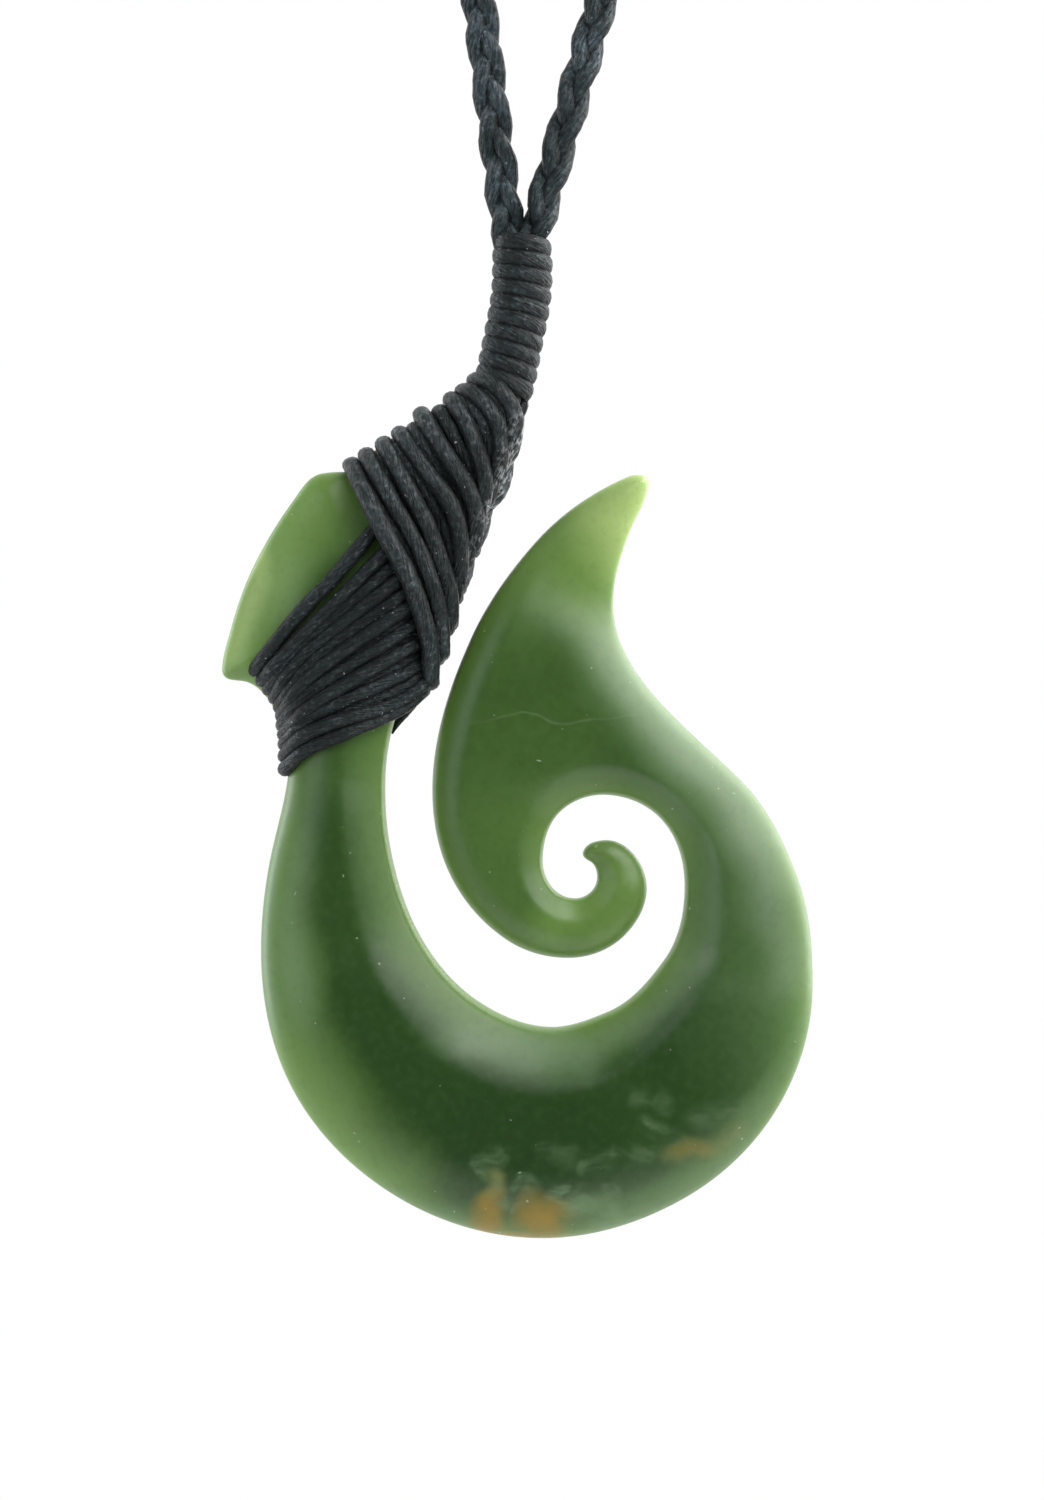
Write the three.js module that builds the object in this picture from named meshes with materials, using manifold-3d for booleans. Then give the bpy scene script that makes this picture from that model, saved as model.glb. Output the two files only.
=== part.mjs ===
// Hei matau pendant: a carved greenstone hook, lashed with waxed cord to a plaited neck cord.
// Millimetres, +Z up. The front faces -Y. The origin is the underside of the neck cord's highest
// point, where the necklace lies on the nape.
import * as THREE from "three";
import { mergeVertices } from "three/addons/utils/BufferGeometryUtils.js";
import Module from "manifold-3d";

const wasm = await Module();
wasm.setup();

// Carved stone
const HOOK_WIDTH = 44.3;
const HOOK_HEIGHT = 57.4;
const HOOK_DEPTH = 7.0;
const BEVEL_RIM_SHARE = 0.42;
const BEVEL_LIP_SHARE = 0.14;

// Waxed cord and the clearance between pieces
const CORD_THICKNESS = 1.1;
const CLEARANCE = 0.3;
const TURN_GROOVE = 0.3;
const TURN_CREST_SHARE = 0.17;

// Lashings
const LOWER_TURNS = 9;
const UPPER_TURNS = 9;
const LASHING_SQUARENESS = 2.5;

// Whipping round the two arms of the neck cord
const WHIPPING_TURNS = 10;
const WHIPPING_PITCH = 1.13;
const WHIPPING_WIDTH = 4.6;
const WHIPPING_DEPTH = 4.0;
const WHIPPING_LEAN = 16;
const WHIPPING_SQUARENESS = 2;

// Plaited cords
const TAIL_DIAMETER = 2.0;
const NECK_CORD_DIAMETER = 2.2;
const ARM_SPACING = 2.5;
const LEFT_ARM_LEAN = 7;
const RIGHT_ARM_LEAN = 16;
const LOOP_RADIUS = 51;
const LOOP_RISE = 244;
const LOOP_SHIFT = 10;
const LOOP_DIP = 12.5;
const ARM_HANDLE_SHARE = 0.35;

// Fineness of the faceted solids
const OUTLINE_STEP = 2.4;
const OUTLINE_TURN = 15;
const LASHING_SIDES = 24;
const WHIPPING_SIDES = 20;
const CORD_SIDES = 8;
const NECK_CORD_STEPS = 80;
const TAIL_STEPS = 22;
const ARM_POINTS = 7;
const ARC_POINTS = 13;

// Angles in degrees
const QUARTER_TURN = 90;
const HALF_TURN = 180;
const FULL_TURN = 360;
const DEGREE = Math.PI / HALF_TURN;

// The stone's edge, anticlockwise seen from the front. u and v are shares of the hook's width and
// height from its lower left corner, heading is the edge's direction in degrees, and band is the
// width of the rolled or bevelled edge as a share of the hook's width.
const OUTER_EDGE = [
  { at: "head top", u: 0.208, v: 1.001, heading: 178, band: 0.08 },
  { at: "head corner", u: 0.169, v: 0.999, heading: 190, band: 0.09 },
  { at: "head back", u: 0.120, v: 0.963, heading: 234, band: 0.11 },
  { at: "head back", u: 0.058, v: 0.885, heading: 243, band: 0.12 },
  { at: "head back", u: 0.015, v: 0.796, heading: 255, band: 0.11 },
  { at: "heel", u: 0.000, v: 0.743, heading: 268, band: 0.08 },
  { at: "heel corner", u: 0.012, v: 0.730, heading: 345, band: 0.07 },
  { at: "notch lip", u: 0.047, v: 0.725, heading: 335, band: 0.07 },
  { at: "notch", u: 0.096, v: 0.681, heading: 299, band: 0.08 },
  { at: "shank back", u: 0.113, v: 0.616, heading: 266, band: 0.10 },
  { at: "shank back", u: 0.081, v: 0.493, heading: 259, band: 0.12 },
  { at: "widest left", u: 0.066, v: 0.376, heading: 270, band: 0.13 },
  { at: "bowl", u: 0.130, v: 0.180, heading: 301, band: 0.14 },
  { at: "bowl", u: 0.305, v: 0.050, heading: 330, band: 0.14 },
  { at: "bowl foot", u: 0.543, v: 0.000, heading: 0, band: 0.14 },
  { at: "bowl", u: 0.778, v: 0.050, heading: 29, band: 0.14 },
  { at: "bowl", u: 0.948, v: 0.180, heading: 61, band: 0.14 },
  { at: "widest right", u: 1.000, v: 0.330, heading: 90, band: 0.14 },
  { at: "shoulder", u: 0.976, v: 0.467, heading: 110, band: 0.14 },
  { at: "shoulder", u: 0.878, v: 0.598, heading: 135, band: 0.14 },
  { at: "shoulder", u: 0.739, v: 0.702, heading: 132, band: 0.13 },
  { at: "barb hollow", u: 0.662, v: 0.828, heading: 90, band: 0.11 },
  { at: "barb", u: 0.690, v: 0.922, heading: 68, band: 0.07 },
  { at: "point side", u: 0.723, v: 0.984, heading: 80, band: 0.04 },
];
const LEAF_EDGE = [
  { at: "point", u: 0.712, v: 0.997, heading: 168, band: 0.04 },
  { at: "point top", u: 0.668, v: 0.988, heading: 206, band: 0.045 },
  { at: "leaf back", u: 0.533, v: 0.911, heading: 228, band: 0.06 },
  { at: "leaf back", u: 0.420, v: 0.781, heading: 246, band: 0.065 },
  { at: "leaf widest", u: 0.356, v: 0.585, heading: 270, band: 0.065 },
  { at: "leaf", u: 0.391, v: 0.467, heading: 298, band: 0.065 },
  { at: "leaf", u: 0.481, v: 0.390, heading: 326, band: 0.06 },
  { at: "leaf foot", u: 0.589, v: 0.366, heading: 1, band: 0.055 },
  { at: "curl", u: 0.685, v: 0.398, heading: 47, band: 0.05 },
  { at: "curl", u: 0.719, v: 0.460, heading: 93, band: 0.05 },
  { at: "curl", u: 0.694, v: 0.504, heading: 133, band: 0.045 },
  { at: "curl top", u: 0.648, v: 0.520, heading: 183, band: 0.04 },
  { at: "curl tip", u: 0.611, v: 0.504, heading: 255, band: 0.03 },
];
const INNER_EDGE = [
  { at: "curl tip", u: 0.621, v: 0.493, heading: 335, band: 0.03 },
  { at: "eye", u: 0.635, v: 0.471, heading: 268, band: 0.035 },
  { at: "eye foot", u: 0.596, v: 0.444, heading: 178, band: 0.04 },
  { at: "eye", u: 0.543, v: 0.496, heading: 88, band: 0.042 },
  { at: "eye", u: 0.577, v: 0.560, heading: 40, band: 0.045 },
  { at: "eye top", u: 0.651, v: 0.579, heading: 357, band: 0.05 },
  { at: "slot", u: 0.745, v: 0.546, heading: 312, band: 0.05 },
  { at: "slot", u: 0.783, v: 0.460, heading: 270, band: 0.06 },
  { at: "slot", u: 0.748, v: 0.363, heading: 234, band: 0.08 },
  { at: "slot", u: 0.651, v: 0.295, heading: 202, band: 0.10 },
  { at: "throat", u: 0.555, v: 0.276, heading: 178, band: 0.115 },
  { at: "throat", u: 0.437, v: 0.308, heading: 147, band: 0.115 },
  { at: "throat", u: 0.335, v: 0.396, heading: 119, band: 0.095 },
  { at: "shank front", u: 0.286, v: 0.507, heading: 101, band: 0.08 },
  { at: "shank front", u: 0.277, v: 0.604, heading: 88, band: 0.075 },
  { at: "shank front", u: 0.301, v: 0.695, heading: 69, band: 0.075 },
  { at: "hidden front", u: 0.345, v: 0.768, heading: 68, band: 0.075 },
  { at: "hidden front", u: 0.362, v: 0.852, heading: 94, band: 0.075 },
  { at: "hidden front", u: 0.332, v: 0.950, heading: 121, band: 0.075 },
  { at: "hidden top", u: 0.267, v: 0.995, heading: 160, band: 0.07 },
];

// The stone's thickness at chosen places, as a share of HOOK_DEPTH.
const THICKNESS_SPOTS = [
  { at: "heel", u: 0.03, v: 0.76, share: 0.42 },
  { at: "head top", u: 0.18, v: 0.98, share: 0.44 },
  { at: "head", u: 0.24, v: 0.85, share: 0.66 },
  { at: "neck", u: 0.21, v: 0.68, share: 0.72 },
  { at: "shank", u: 0.17, v: 0.50, share: 0.82 },
  { at: "bowl left", u: 0.25, v: 0.24, share: 0.94 },
  { at: "bowl foot", u: 0.54, v: 0.13, share: 1.00 },
  { at: "bowl right", u: 0.84, v: 0.24, share: 0.94 },
  { at: "right side", u: 0.88, v: 0.44, share: 0.82 },
  { at: "shoulder", u: 0.74, v: 0.64, share: 0.76 },
  { at: "leaf", u: 0.53, v: 0.68, share: 0.70 },
  { at: "point", u: 0.66, v: 0.93, share: 0.34 },
  { at: "leaf foot", u: 0.50, v: 0.46, share: 0.60 },
  { at: "curl", u: 0.66, v: 0.43, share: 0.44 },
  { at: "curl tip", u: 0.64, v: 0.50, share: 0.34 },
];
const SPOT_FALLOFF = 4;
const SPOT_SOFTNESS = 1e-6;

// How far along each line from the edge to the stone's middle the rings of the mesh lie.
const RING_SHARES = [0.07, 0.22, 0.46, 0.8];

// Turns of the lashings, as the middle of the cord where it passes the left and right outline,
// in shares of the hook's width and height. bow is how far the turn's middle lies off the straight
// line between them, as a share of the width. The turns between the rows are worked out.
const LOWER_FAN = [
  { leftU: 0.059, leftV: 0.732, rightU: 0.310, rightV: 0.961, bow: 0.000 },
  { leftU: 0.086, leftV: 0.706, rightU: 0.342, rightV: 0.901, bow: 0.000 },
  { leftU: 0.105, leftV: 0.674, rightU: 0.354, rightV: 0.833, bow: 0.000 },
  { leftU: 0.107, leftV: 0.644, rightU: 0.349, rightV: 0.774, bow: 0.000 },
  { leftU: 0.107, leftV: 0.614, rightU: 0.347, rightV: 0.723, bow: 0.000 },
];
const UPPER_FAN = [
  { leftU: 0.215, leftV: 1.003, rightU: 0.352, rightV: 0.723, bow: 0.025 },
  { leftU: 0.277, leftV: 1.033, rightU: 0.381, rightV: 0.805, bow: 0.025 },
  { leftU: 0.342, leftV: 1.072, rightU: 0.408, rightV: 0.885, bow: 0.030 },
  { leftU: 0.394, leftV: 1.091, rightU: 0.437, rightV: 0.953, bow: 0.019 },
  { leftU: 0.440, leftV: 1.117, rightU: 0.484, rightV: 1.044, bow: 0.020 },
];
const NECK_THICKNESS_SHARE = 0.72;

// The foot of the whipping, and the tail plait's middle line. back is how far behind the hook's
// middle plane it lies, as a share of the tail's diameter.
const WHIPPING_FOOT = { u: 0.475, v: 1.112 };
const TAIL_ROUTE = [
  { u: 0.494, v: 1.091, back: 0.60 },
  { u: 0.484, v: 1.055, back: 0.80 },
  { u: 0.475, v: 1.022, back: 1.00 },
  { u: 0.460, v: 0.987, back: 1.10 },
  { u: 0.438, v: 0.957, back: 1.20 },
  { u: 0.413, v: 0.905, back: 1.25 },
  { u: 0.391, v: 0.859, back: 1.25 },
  { u: 0.377, v: 0.829, back: 1.25 },
  { u: 0.359, v: 0.781, back: 1.20 },
  { u: 0.347, v: 0.748, back: 1.10 },
  { u: 0.328, v: 0.713, back: 1.00 },
  { u: 0.308, v: 0.684, back: 0.90 },
  { u: 0.293, v: 0.659, back: 0.80 },
];

const greenstone = new THREE.MeshStandardMaterial({ color: 0x4b7a3c, roughness: 0.28, metalness: 0 });
const waxedCord = new THREE.MeshStandardMaterial({ color: 0x2b3131, roughness: 0.6, metalness: 0 });

function onHook(u, v) {
  return new THREE.Vector2(u * HOOK_WIDTH, v * HOOK_HEIGHT);
}

function direction(degrees) {
  return new THREE.Vector2(Math.cos(degrees * DEGREE), Math.sin(degrees * DEGREE));
}

function turnBetween(from, to) {
  return ((to - from + FULL_TURN + HALF_TURN) % FULL_TURN) - HALF_TURN;
}

// Points along the stone's edge. Each stretch between two rows is a cubic that follows a circular
// arc where the two headings allow one.
function edgePoints(grow) {
  const rows = [
    ...OUTER_EDGE.map((row) => ({ ...row, side: "outer" })),
    ...LEAF_EDGE.map((row) => ({ ...row, side: "leaf" })),
    ...INNER_EDGE.map((row) => ({ ...row, side: "inner" })),
  ];
  const points = [];
  rows.forEach((row, index) => {
    const next = rows[(index + 1) % rows.length];
    const start = onHook(row.u, row.v);
    const end = onHook(next.u, next.v);
    const turn = turnBetween(row.heading, next.heading);
    const chord = start.distanceTo(end);
    const handle = chord / (3 * Math.cos((turn * DEGREE) / 4) ** 2);
    const curve = new THREE.CubicBezierCurve(
      start,
      start.clone().addScaledVector(direction(row.heading), handle),
      end.clone().addScaledVector(direction(next.heading), -handle),
      end,
    );
    const count = Math.max(Math.ceil(chord / OUTLINE_STEP), Math.ceil(Math.abs(turn) / OUTLINE_TURN));
    for (let step = 0; step < count; step += 1) {
      const share = step / count;
      const along = curve.getTangent(share);
      const inward = new THREE.Vector2(-along.y, along.x);
      const place = curve.getPoint(share).addScaledVector(inward, -grow);
      const band = THREE.MathUtils.lerp(row.band, next.band, share) * HOOK_WIDTH;
      points.push({ place, inward, band, side: row.side });
    }
  });
  return points;
}

// The distance from an edge point to the stone's middle line, along the inward direction.
function reachOf(point, points) {
  let reach = Infinity;
  for (const other of points) {
    const gap = other.place.clone().sub(point.place);
    const ahead = gap.dot(point.inward);
    if (ahead > 0) reach = Math.min(reach, gap.lengthSq() / (2 * ahead));
  }
  return reach;
}

function roundEdge(share) {
  return share >= 1 ? 1 : Math.sqrt(1 - (1 - share) ** 2);
}

function bevelEdge(share) {
  const rise = Math.min(share, 1);
  return roundEdge(share / BEVEL_LIP_SHARE) * (BEVEL_RIM_SHARE + (1 - BEVEL_RIM_SHARE) * rise);
}

function thicknessAt(place) {
  let total = 0;
  let weights = 0;
  for (const spot of THICKNESS_SPOTS) {
    const weight = 1 / (SPOT_SOFTNESS + onHook(spot.u, spot.v).distanceTo(place) ** SPOT_FALLOFF);
    total += weight * spot.share;
    weights += weight;
  }
  return (HOOK_DEPTH * total) / weights;
}

// Half the stone's thickness at a place: the lowest of the three edges' profiles there.
function halfThickness(place, points) {
  const nearest = {};
  for (const point of points) {
    const gap = place.distanceTo(point.place);
    if (!(point.side in nearest) || gap < nearest[point.side].gap) {
      nearest[point.side] = { gap, band: point.band };
    }
  }
  let height = 1;
  for (const [side, { gap, band }] of Object.entries(nearest)) {
    const profile = side === "inner" ? bevelEdge : roundEdge;
    height = Math.min(height, profile(gap / band));
  }
  return (height * thicknessAt(place)) / 2;
}

// Closed geometry from a list of vertices and a list of triangles, turned so that it faces out.
function closedGeometry(vertices, triangles) {
  let volume = 0;
  for (const [a, b, c] of triangles) {
    volume += vertices[a].dot(vertices[b].clone().cross(vertices[c]));
  }
  const facing = volume > 0 ? triangles : triangles.map(([a, b, c]) => [a, c, b]);
  const geometry = new THREE.BufferGeometry();
  const coordinates = vertices.flatMap((vertex) => vertex.toArray());
  geometry.setAttribute("position", new THREE.Float32BufferAttribute(coordinates, 3));
  geometry.setIndex(facing.flat());
  return geometry;
}

// The stone: rings that follow its edge at the front and at the back, and a flat middle.
function hookGeometry(grow) {
  const edge = edgePoints(0);
  const grown = edgePoints(grow);
  const count = edge.length;
  const vertices = grown.map(({ place }) => new THREE.Vector3(place.x, 0, place.y));
  const triangles = [];
  const reaches = edge.map((point) => reachOf(point, edge));
  for (const side of [-1, 1]) {
    let previous = 0;
    let middle = [];
    for (const share of RING_SHARES) {
      const first = vertices.length;
      middle = edge.map((point, index) => {
        return point.place.clone().addScaledVector(point.inward, share * reaches[index]);
      });
      for (const place of middle) {
        vertices.push(new THREE.Vector3(place.x, side * (halfThickness(place, edge) + grow), place.y));
      }
      for (let index = 0; index < count; index += 1) {
        const next = (index + 1) % count;
        const quad = [previous + index, previous + next, first + next, first + index];
        if (side > 0) quad.reverse();
        triangles.push([quad[0], quad[1], quad[2]], [quad[0], quad[2], quad[3]]);
      }
      previous = first;
    }
    for (const [a, b, c] of THREE.ShapeUtils.triangulateShape(middle, [])) {
      const corners = [previous + a, previous + b, previous + c];
      triangles.push(side > 0 ? corners.reverse() : corners);
    }
  }
  return closedGeometry(vertices, triangles);
}

// Closed geometry over a row of loops with the same number of points, with a fan at each end.
function loft(loops) {
  const sides = loops[0].length;
  const vertices = loops.flat();
  const triangles = [];
  for (let row = 0; row < loops.length - 1; row += 1) {
    for (let side = 0; side < sides; side += 1) {
      const next = (side + 1) % sides;
      const low = row * sides;
      const high = low + sides;
      triangles.push([low + side, low + next, high + next], [low + side, high + next, high + side]);
    }
  }
  for (const [row, order] of [[0, -1], [loops.length - 1, 1]]) {
    const middle = new THREE.Vector3();
    loops[row].forEach((point) => middle.addScaledVector(point, 1 / sides));
    vertices.push(middle);
    for (let side = 0; side < sides; side += 1) {
      const pair = [row * sides + side, row * sides + ((side + 1) % sides)];
      if (order < 0) pair.reverse();
      triangles.push([vertices.length - 1, ...pair]);
    }
  }
  return closedGeometry(vertices, triangles);
}

// A closed loop round a middle point, between an ellipse and a rectangle.
function roundedLoop(middle, across, halfWidth, halfDepth, squareness, sides) {
  const power = 2 / squareness;
  const points = [];
  for (let side = 0; side < sides; side += 1) {
    const angle = (2 * Math.PI * side) / sides;
    const cosine = Math.cos(angle);
    const sine = Math.sin(angle);
    const wide = halfWidth * Math.sign(cosine) * Math.abs(cosine) ** power;
    const deep = halfDepth * Math.sign(sine) * Math.abs(sine) ** power;
    points.push(middle.clone().addScaledVector(across, wide).add(new THREE.Vector3(0, deep, 0)));
  }
  return points;
}

// Places along a wound piece, in turns, with the depth of the groove at each. A groove lies half a
// turn to either side of a turn's crest.
function turnRows(turns) {
  const rows = [];
  for (let turn = 0; turn < turns; turn += 1) {
    rows.push({ at: turn - 0.5, groove: TURN_GROOVE });
    rows.push({ at: turn - TURN_CREST_SHARE, groove: 0 });
    rows.push({ at: turn + TURN_CREST_SHARE, groove: 0 });
  }
  rows.push({ at: turns - 0.5, groove: TURN_GROOVE });
  return rows;
}

// The line of one turn, between the rows of a fan or straight on past its ends.
function fanLine(fan, share) {
  const spot = share * (fan.length - 1);
  const index = Math.min(Math.max(Math.floor(spot), 0), fan.length - 2);
  const from = fan[index];
  const to = fan[index + 1];
  const mix = (key) => THREE.MathUtils.lerp(from[key], to[key], spot - index);
  const left = onHook(mix("leftU"), mix("leftV"));
  const right = onHook(mix("rightU"), mix("rightV"));
  return { left, right, bow: mix("bow") * HOOK_WIDTH };
}

function lashingGeometry(fan, turns, firstHalfDepth, lastHalfDepth, grow) {
  const loops = turnRows(turns).map(({ at, groove }) => {
    const share = at / (turns - 1);
    const { left, right, bow } = fanLine(fan, share);
    const across = new THREE.Vector3(right.x - left.x, 0, right.y - left.y);
    const halfWidth = across.length() / 2 + CORD_THICKNESS / 2 - groove + grow;
    const halfDepth = THREE.MathUtils.lerp(firstHalfDepth, lastHalfDepth, share) - groove + grow;
    const middle = new THREE.Vector3((left.x + right.x) / 2, 0, (left.y + right.y) / 2);
    across.normalize();
    const aside = new THREE.Vector3(-across.z, 0, across.x);
    const loop = roundedLoop(middle, across, halfWidth, halfDepth, LASHING_SQUARENESS, LASHING_SIDES);
    return loop.map((point) => {
      const reach = point.clone().sub(middle).dot(across) / halfWidth;
      return point.addScaledVector(aside, bow * (1 - reach ** 2));
    });
  });
  return loft(loops);
}

// The whipping's middle line, from its leaning foot to its upright top.
function whippingAxis() {
  const foot = onHook(WHIPPING_FOOT.u, WHIPPING_FOOT.v);
  const half = (WHIPPING_TURNS * WHIPPING_PITCH) / 2;
  const bend = foot.clone().addScaledVector(direction(QUARTER_TURN - WHIPPING_LEAN), half);
  const top = bend.clone().addScaledVector(direction(QUARTER_TURN), half);
  const upright = ({ x, y }) => new THREE.Vector3(x, 0, y);
  return new THREE.QuadraticBezierCurve3(upright(foot), upright(bend), upright(top));
}

function whippingGeometry(grow) {
  const axis = whippingAxis();
  const loops = turnRows(WHIPPING_TURNS).map(({ at, groove }) => {
    const share = (at + 0.5) / WHIPPING_TURNS;
    const along = axis.getTangent(share);
    const across = new THREE.Vector3(along.z, 0, -along.x);
    const middle = axis.getPoint(share);
    if (share === 0) middle.addScaledVector(along, -grow);
    const halfWidth = WHIPPING_WIDTH / 2 - groove + grow;
    const halfDepth = WHIPPING_DEPTH / 2 - groove + grow;
    return roundedLoop(middle, across, halfWidth, halfDepth, WHIPPING_SQUARENESS, WHIPPING_SIDES);
  });
  return loft(loops);
}

function tube(curve, diameter, steps) {
  const corners = [];
  for (let side = 0; side < CORD_SIDES; side += 1) {
    const angle = (2 * Math.PI * (side + 0.5)) / CORD_SIDES;
    corners.push(new THREE.Vector2(Math.cos(angle), Math.sin(angle)).multiplyScalar(diameter / 2));
  }
  const section = new THREE.Shape(corners);
  return new THREE.ExtrudeGeometry(section, { steps, bevelEnabled: false, extrudePath: curve });
}

function tailGeometry(grow) {
  const points = TAIL_ROUTE.map(({ u, v, back }) => {
    const place = onHook(u, v);
    return new THREE.Vector3(place.x, back * TAIL_DIAMETER, place.y);
  });
  return tube(new THREE.CatmullRomCurve3(points), TAIL_DIAMETER + 2 * grow, TAIL_STEPS);
}

// The neck cord's middle line, from the top of the whipping: up the left arm, round the arc that
// lies on the nape, and down the right arm.
function neckRoute() {
  const centre = new THREE.Vector3(LOOP_SHIFT, 0, LOOP_RISE);
  const onArc = (degrees) => {
    const out = direction(degrees);
    return centre.clone().add(new THREE.Vector3(out.x, 0, out.y).multiplyScalar(LOOP_RADIUS));
  };
  const arm = (side, lean) => {
    const start = new THREE.Vector3((side * ARM_SPACING) / 2, 0, CLEARANCE);
    const end = onArc(QUARTER_TURN - side * (QUARTER_TURN + LOOP_DIP));
    const handle = ARM_HANDLE_SHARE * start.distanceTo(end);
    const up = new THREE.Vector3(side * Math.sin(lean * DEGREE), 0, Math.cos(lean * DEGREE));
    const down = new THREE.Vector3(-side * Math.sin(LOOP_DIP * DEGREE), 0, -Math.cos(LOOP_DIP * DEGREE));
    const first = start.clone().addScaledVector(up, handle);
    const second = end.clone().addScaledVector(down, handle);
    return new THREE.CubicBezierCurve3(start, first, second, end).getPoints(ARM_POINTS).slice(0, -1);
  };
  const left = arm(-1, LEFT_ARM_LEAN);
  const right = arm(1, RIGHT_ARM_LEAN).reverse();
  const sweep = HALF_TURN + 2 * LOOP_DIP;
  const arc = [];
  for (let step = 0; step <= ARC_POINTS; step += 1) {
    arc.push(onArc(HALF_TURN + LOOP_DIP - (sweep * step) / ARC_POINTS));
  }
  return new THREE.CatmullRomCurve3([...left, ...arc, ...right]);
}

function toSolid(geometry) {
  const bare = geometry.clone();
  bare.deleteAttribute("normal");
  bare.deleteAttribute("uv");
  const merged = mergeVertices(bare);
  const mesh = new wasm.Mesh({
    numProp: 3,
    vertProperties: new Float32Array(merged.attributes.position.array),
    triVerts: new Uint32Array(merged.index.array),
  });
  return new wasm.Manifold(mesh);
}

function cutBy(geometry, cutters) {
  const solid = cutters.reduce((rest, cutter) => rest.subtract(toSolid(cutter)), toSolid(geometry));
  const { vertProperties, triVerts } = solid.getMesh();
  const cut = new THREE.BufferGeometry();
  cut.setAttribute("position", new THREE.Float32BufferAttribute(vertProperties, 3));
  cut.setIndex(new THREE.Uint32BufferAttribute(triVerts, 1));
  return cut;
}

const neckHalfThickness = (HOOK_DEPTH * NECK_THICKNESS_SHARE) / 2;
const lowerHalfDepth = neckHalfThickness + CLEARANCE + CORD_THICKNESS;
const upperHalfDepth = lowerHalfDepth + CLEARANCE + CORD_THICKNESS;

function lowerLashing(grow) {
  return lashingGeometry(LOWER_FAN, LOWER_TURNS, lowerHalfDepth, lowerHalfDepth, grow);
}

function upperLashing() {
  return lashingGeometry(UPPER_FAN, UPPER_TURNS, upperHalfDepth, WHIPPING_DEPTH / 2, 0);
}

const pendant = new THREE.Group();

function addPiece(name, geometry, material) {
  geometry.computeVertexNormals();
  const mesh = new THREE.Mesh(geometry, material);
  mesh.name = name;
  pendant.add(mesh);
  return mesh;
}

const hookCutter = hookGeometry(CLEARANCE);
const tailCutter = tailGeometry(CLEARANCE);
const whippingCutter = whippingGeometry(CLEARANCE);
const lowerCutter = lowerLashing(CLEARANCE);

addPiece("hook", hookGeometry(0), greenstone);
addPiece("lower_lashing", cutBy(lowerLashing(0), [hookCutter, tailCutter]), waxedCord);
const upperCutters = [lowerCutter, hookCutter, tailCutter, whippingCutter];
addPiece("upper_lashing", cutBy(upperLashing(), upperCutters), waxedCord);
addPiece("tail_plait", cutBy(tailGeometry(0), [hookCutter, whippingCutter]), waxedCord);
addPiece("neck_whipping", whippingGeometry(0), waxedCord);

const whippingTop = whippingAxis().getPoint(1);
const neckCord = addPiece("neck_cord", tube(neckRoute(), NECK_CORD_DIAMETER, NECK_CORD_STEPS), waxedCord);
neckCord.position.copy(whippingTop);

const napeHeight = LOOP_RISE + LOOP_RADIUS - NECK_CORD_DIAMETER / 2;
pendant.position.set(-whippingTop.x - LOOP_SHIFT, 0, -whippingTop.z - napeHeight);

export default pendant;
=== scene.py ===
# Hei matau pendant: the looks of a carved greenstone hook on a lashed and plaited waxed cord.
# Metres, +Z up, front to -Y, the origin under the highest point of the neck cord.
import math

import bmesh
import bpy
import numpy as np
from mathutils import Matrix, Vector
from mathutils.geometry import delaunay_2d_cdt


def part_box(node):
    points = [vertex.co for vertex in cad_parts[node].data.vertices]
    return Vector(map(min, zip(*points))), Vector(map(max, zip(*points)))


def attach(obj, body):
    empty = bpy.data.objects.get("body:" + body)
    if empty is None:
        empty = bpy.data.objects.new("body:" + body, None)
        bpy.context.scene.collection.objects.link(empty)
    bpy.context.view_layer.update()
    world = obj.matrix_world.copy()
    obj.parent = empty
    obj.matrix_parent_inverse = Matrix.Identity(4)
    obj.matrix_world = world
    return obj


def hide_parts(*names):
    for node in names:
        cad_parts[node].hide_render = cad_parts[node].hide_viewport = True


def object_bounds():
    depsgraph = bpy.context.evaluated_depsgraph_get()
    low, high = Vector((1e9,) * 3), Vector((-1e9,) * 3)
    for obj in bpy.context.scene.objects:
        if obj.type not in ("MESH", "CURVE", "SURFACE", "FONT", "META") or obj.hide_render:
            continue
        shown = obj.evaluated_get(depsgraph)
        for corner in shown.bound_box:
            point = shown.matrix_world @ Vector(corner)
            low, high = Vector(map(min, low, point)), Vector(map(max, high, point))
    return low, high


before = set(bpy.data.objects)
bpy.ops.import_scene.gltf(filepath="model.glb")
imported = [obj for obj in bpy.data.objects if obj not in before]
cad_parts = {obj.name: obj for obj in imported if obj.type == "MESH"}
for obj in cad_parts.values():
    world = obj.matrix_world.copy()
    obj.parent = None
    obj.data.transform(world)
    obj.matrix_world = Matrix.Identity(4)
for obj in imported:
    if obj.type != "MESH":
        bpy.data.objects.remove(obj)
cad_low, cad_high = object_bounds()
hook_low, hook_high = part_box("hook")

MM = 0.001
BODY = "root"

# Carved stone: its size, the profile of its bevel and how finely its mesh is made
HOOK_WIDTH = 44.3 * MM
HOOK_HEIGHT = 57.4 * MM
HOOK_DEPTH = 7.0 * MM
BEVEL_RIM_SHARE = 0.42
BEVEL_LIP_SHARE = 0.14
BEVEL_SWELL = 0.30
CREASE_SHARP_BAND = 0.080
CREASE_SOFTENING = 3
CREASE_SOFTNESS = (0.012, 0.12)
SOFT_CREASE = {"u": 0.815, "v": 0.45, "reach": 7.0 * MM, "softness": 0.30}
EDGE_STEP = 0.28 * MM
MIDDLE_STEP = 0.34 * MM
EDGE_TURN_STEP = 6
EDGE_AHEAD = 0.01
EDGE_MEETING_SOFTNESS = 0.02
RIM_RINGS = [0.03 * MM, 0.09 * MM, 0.18 * MM, 0.30 * MM, 0.46 * MM, 0.66 * MM]
RING_CLEARANCE = 0.93
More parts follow.
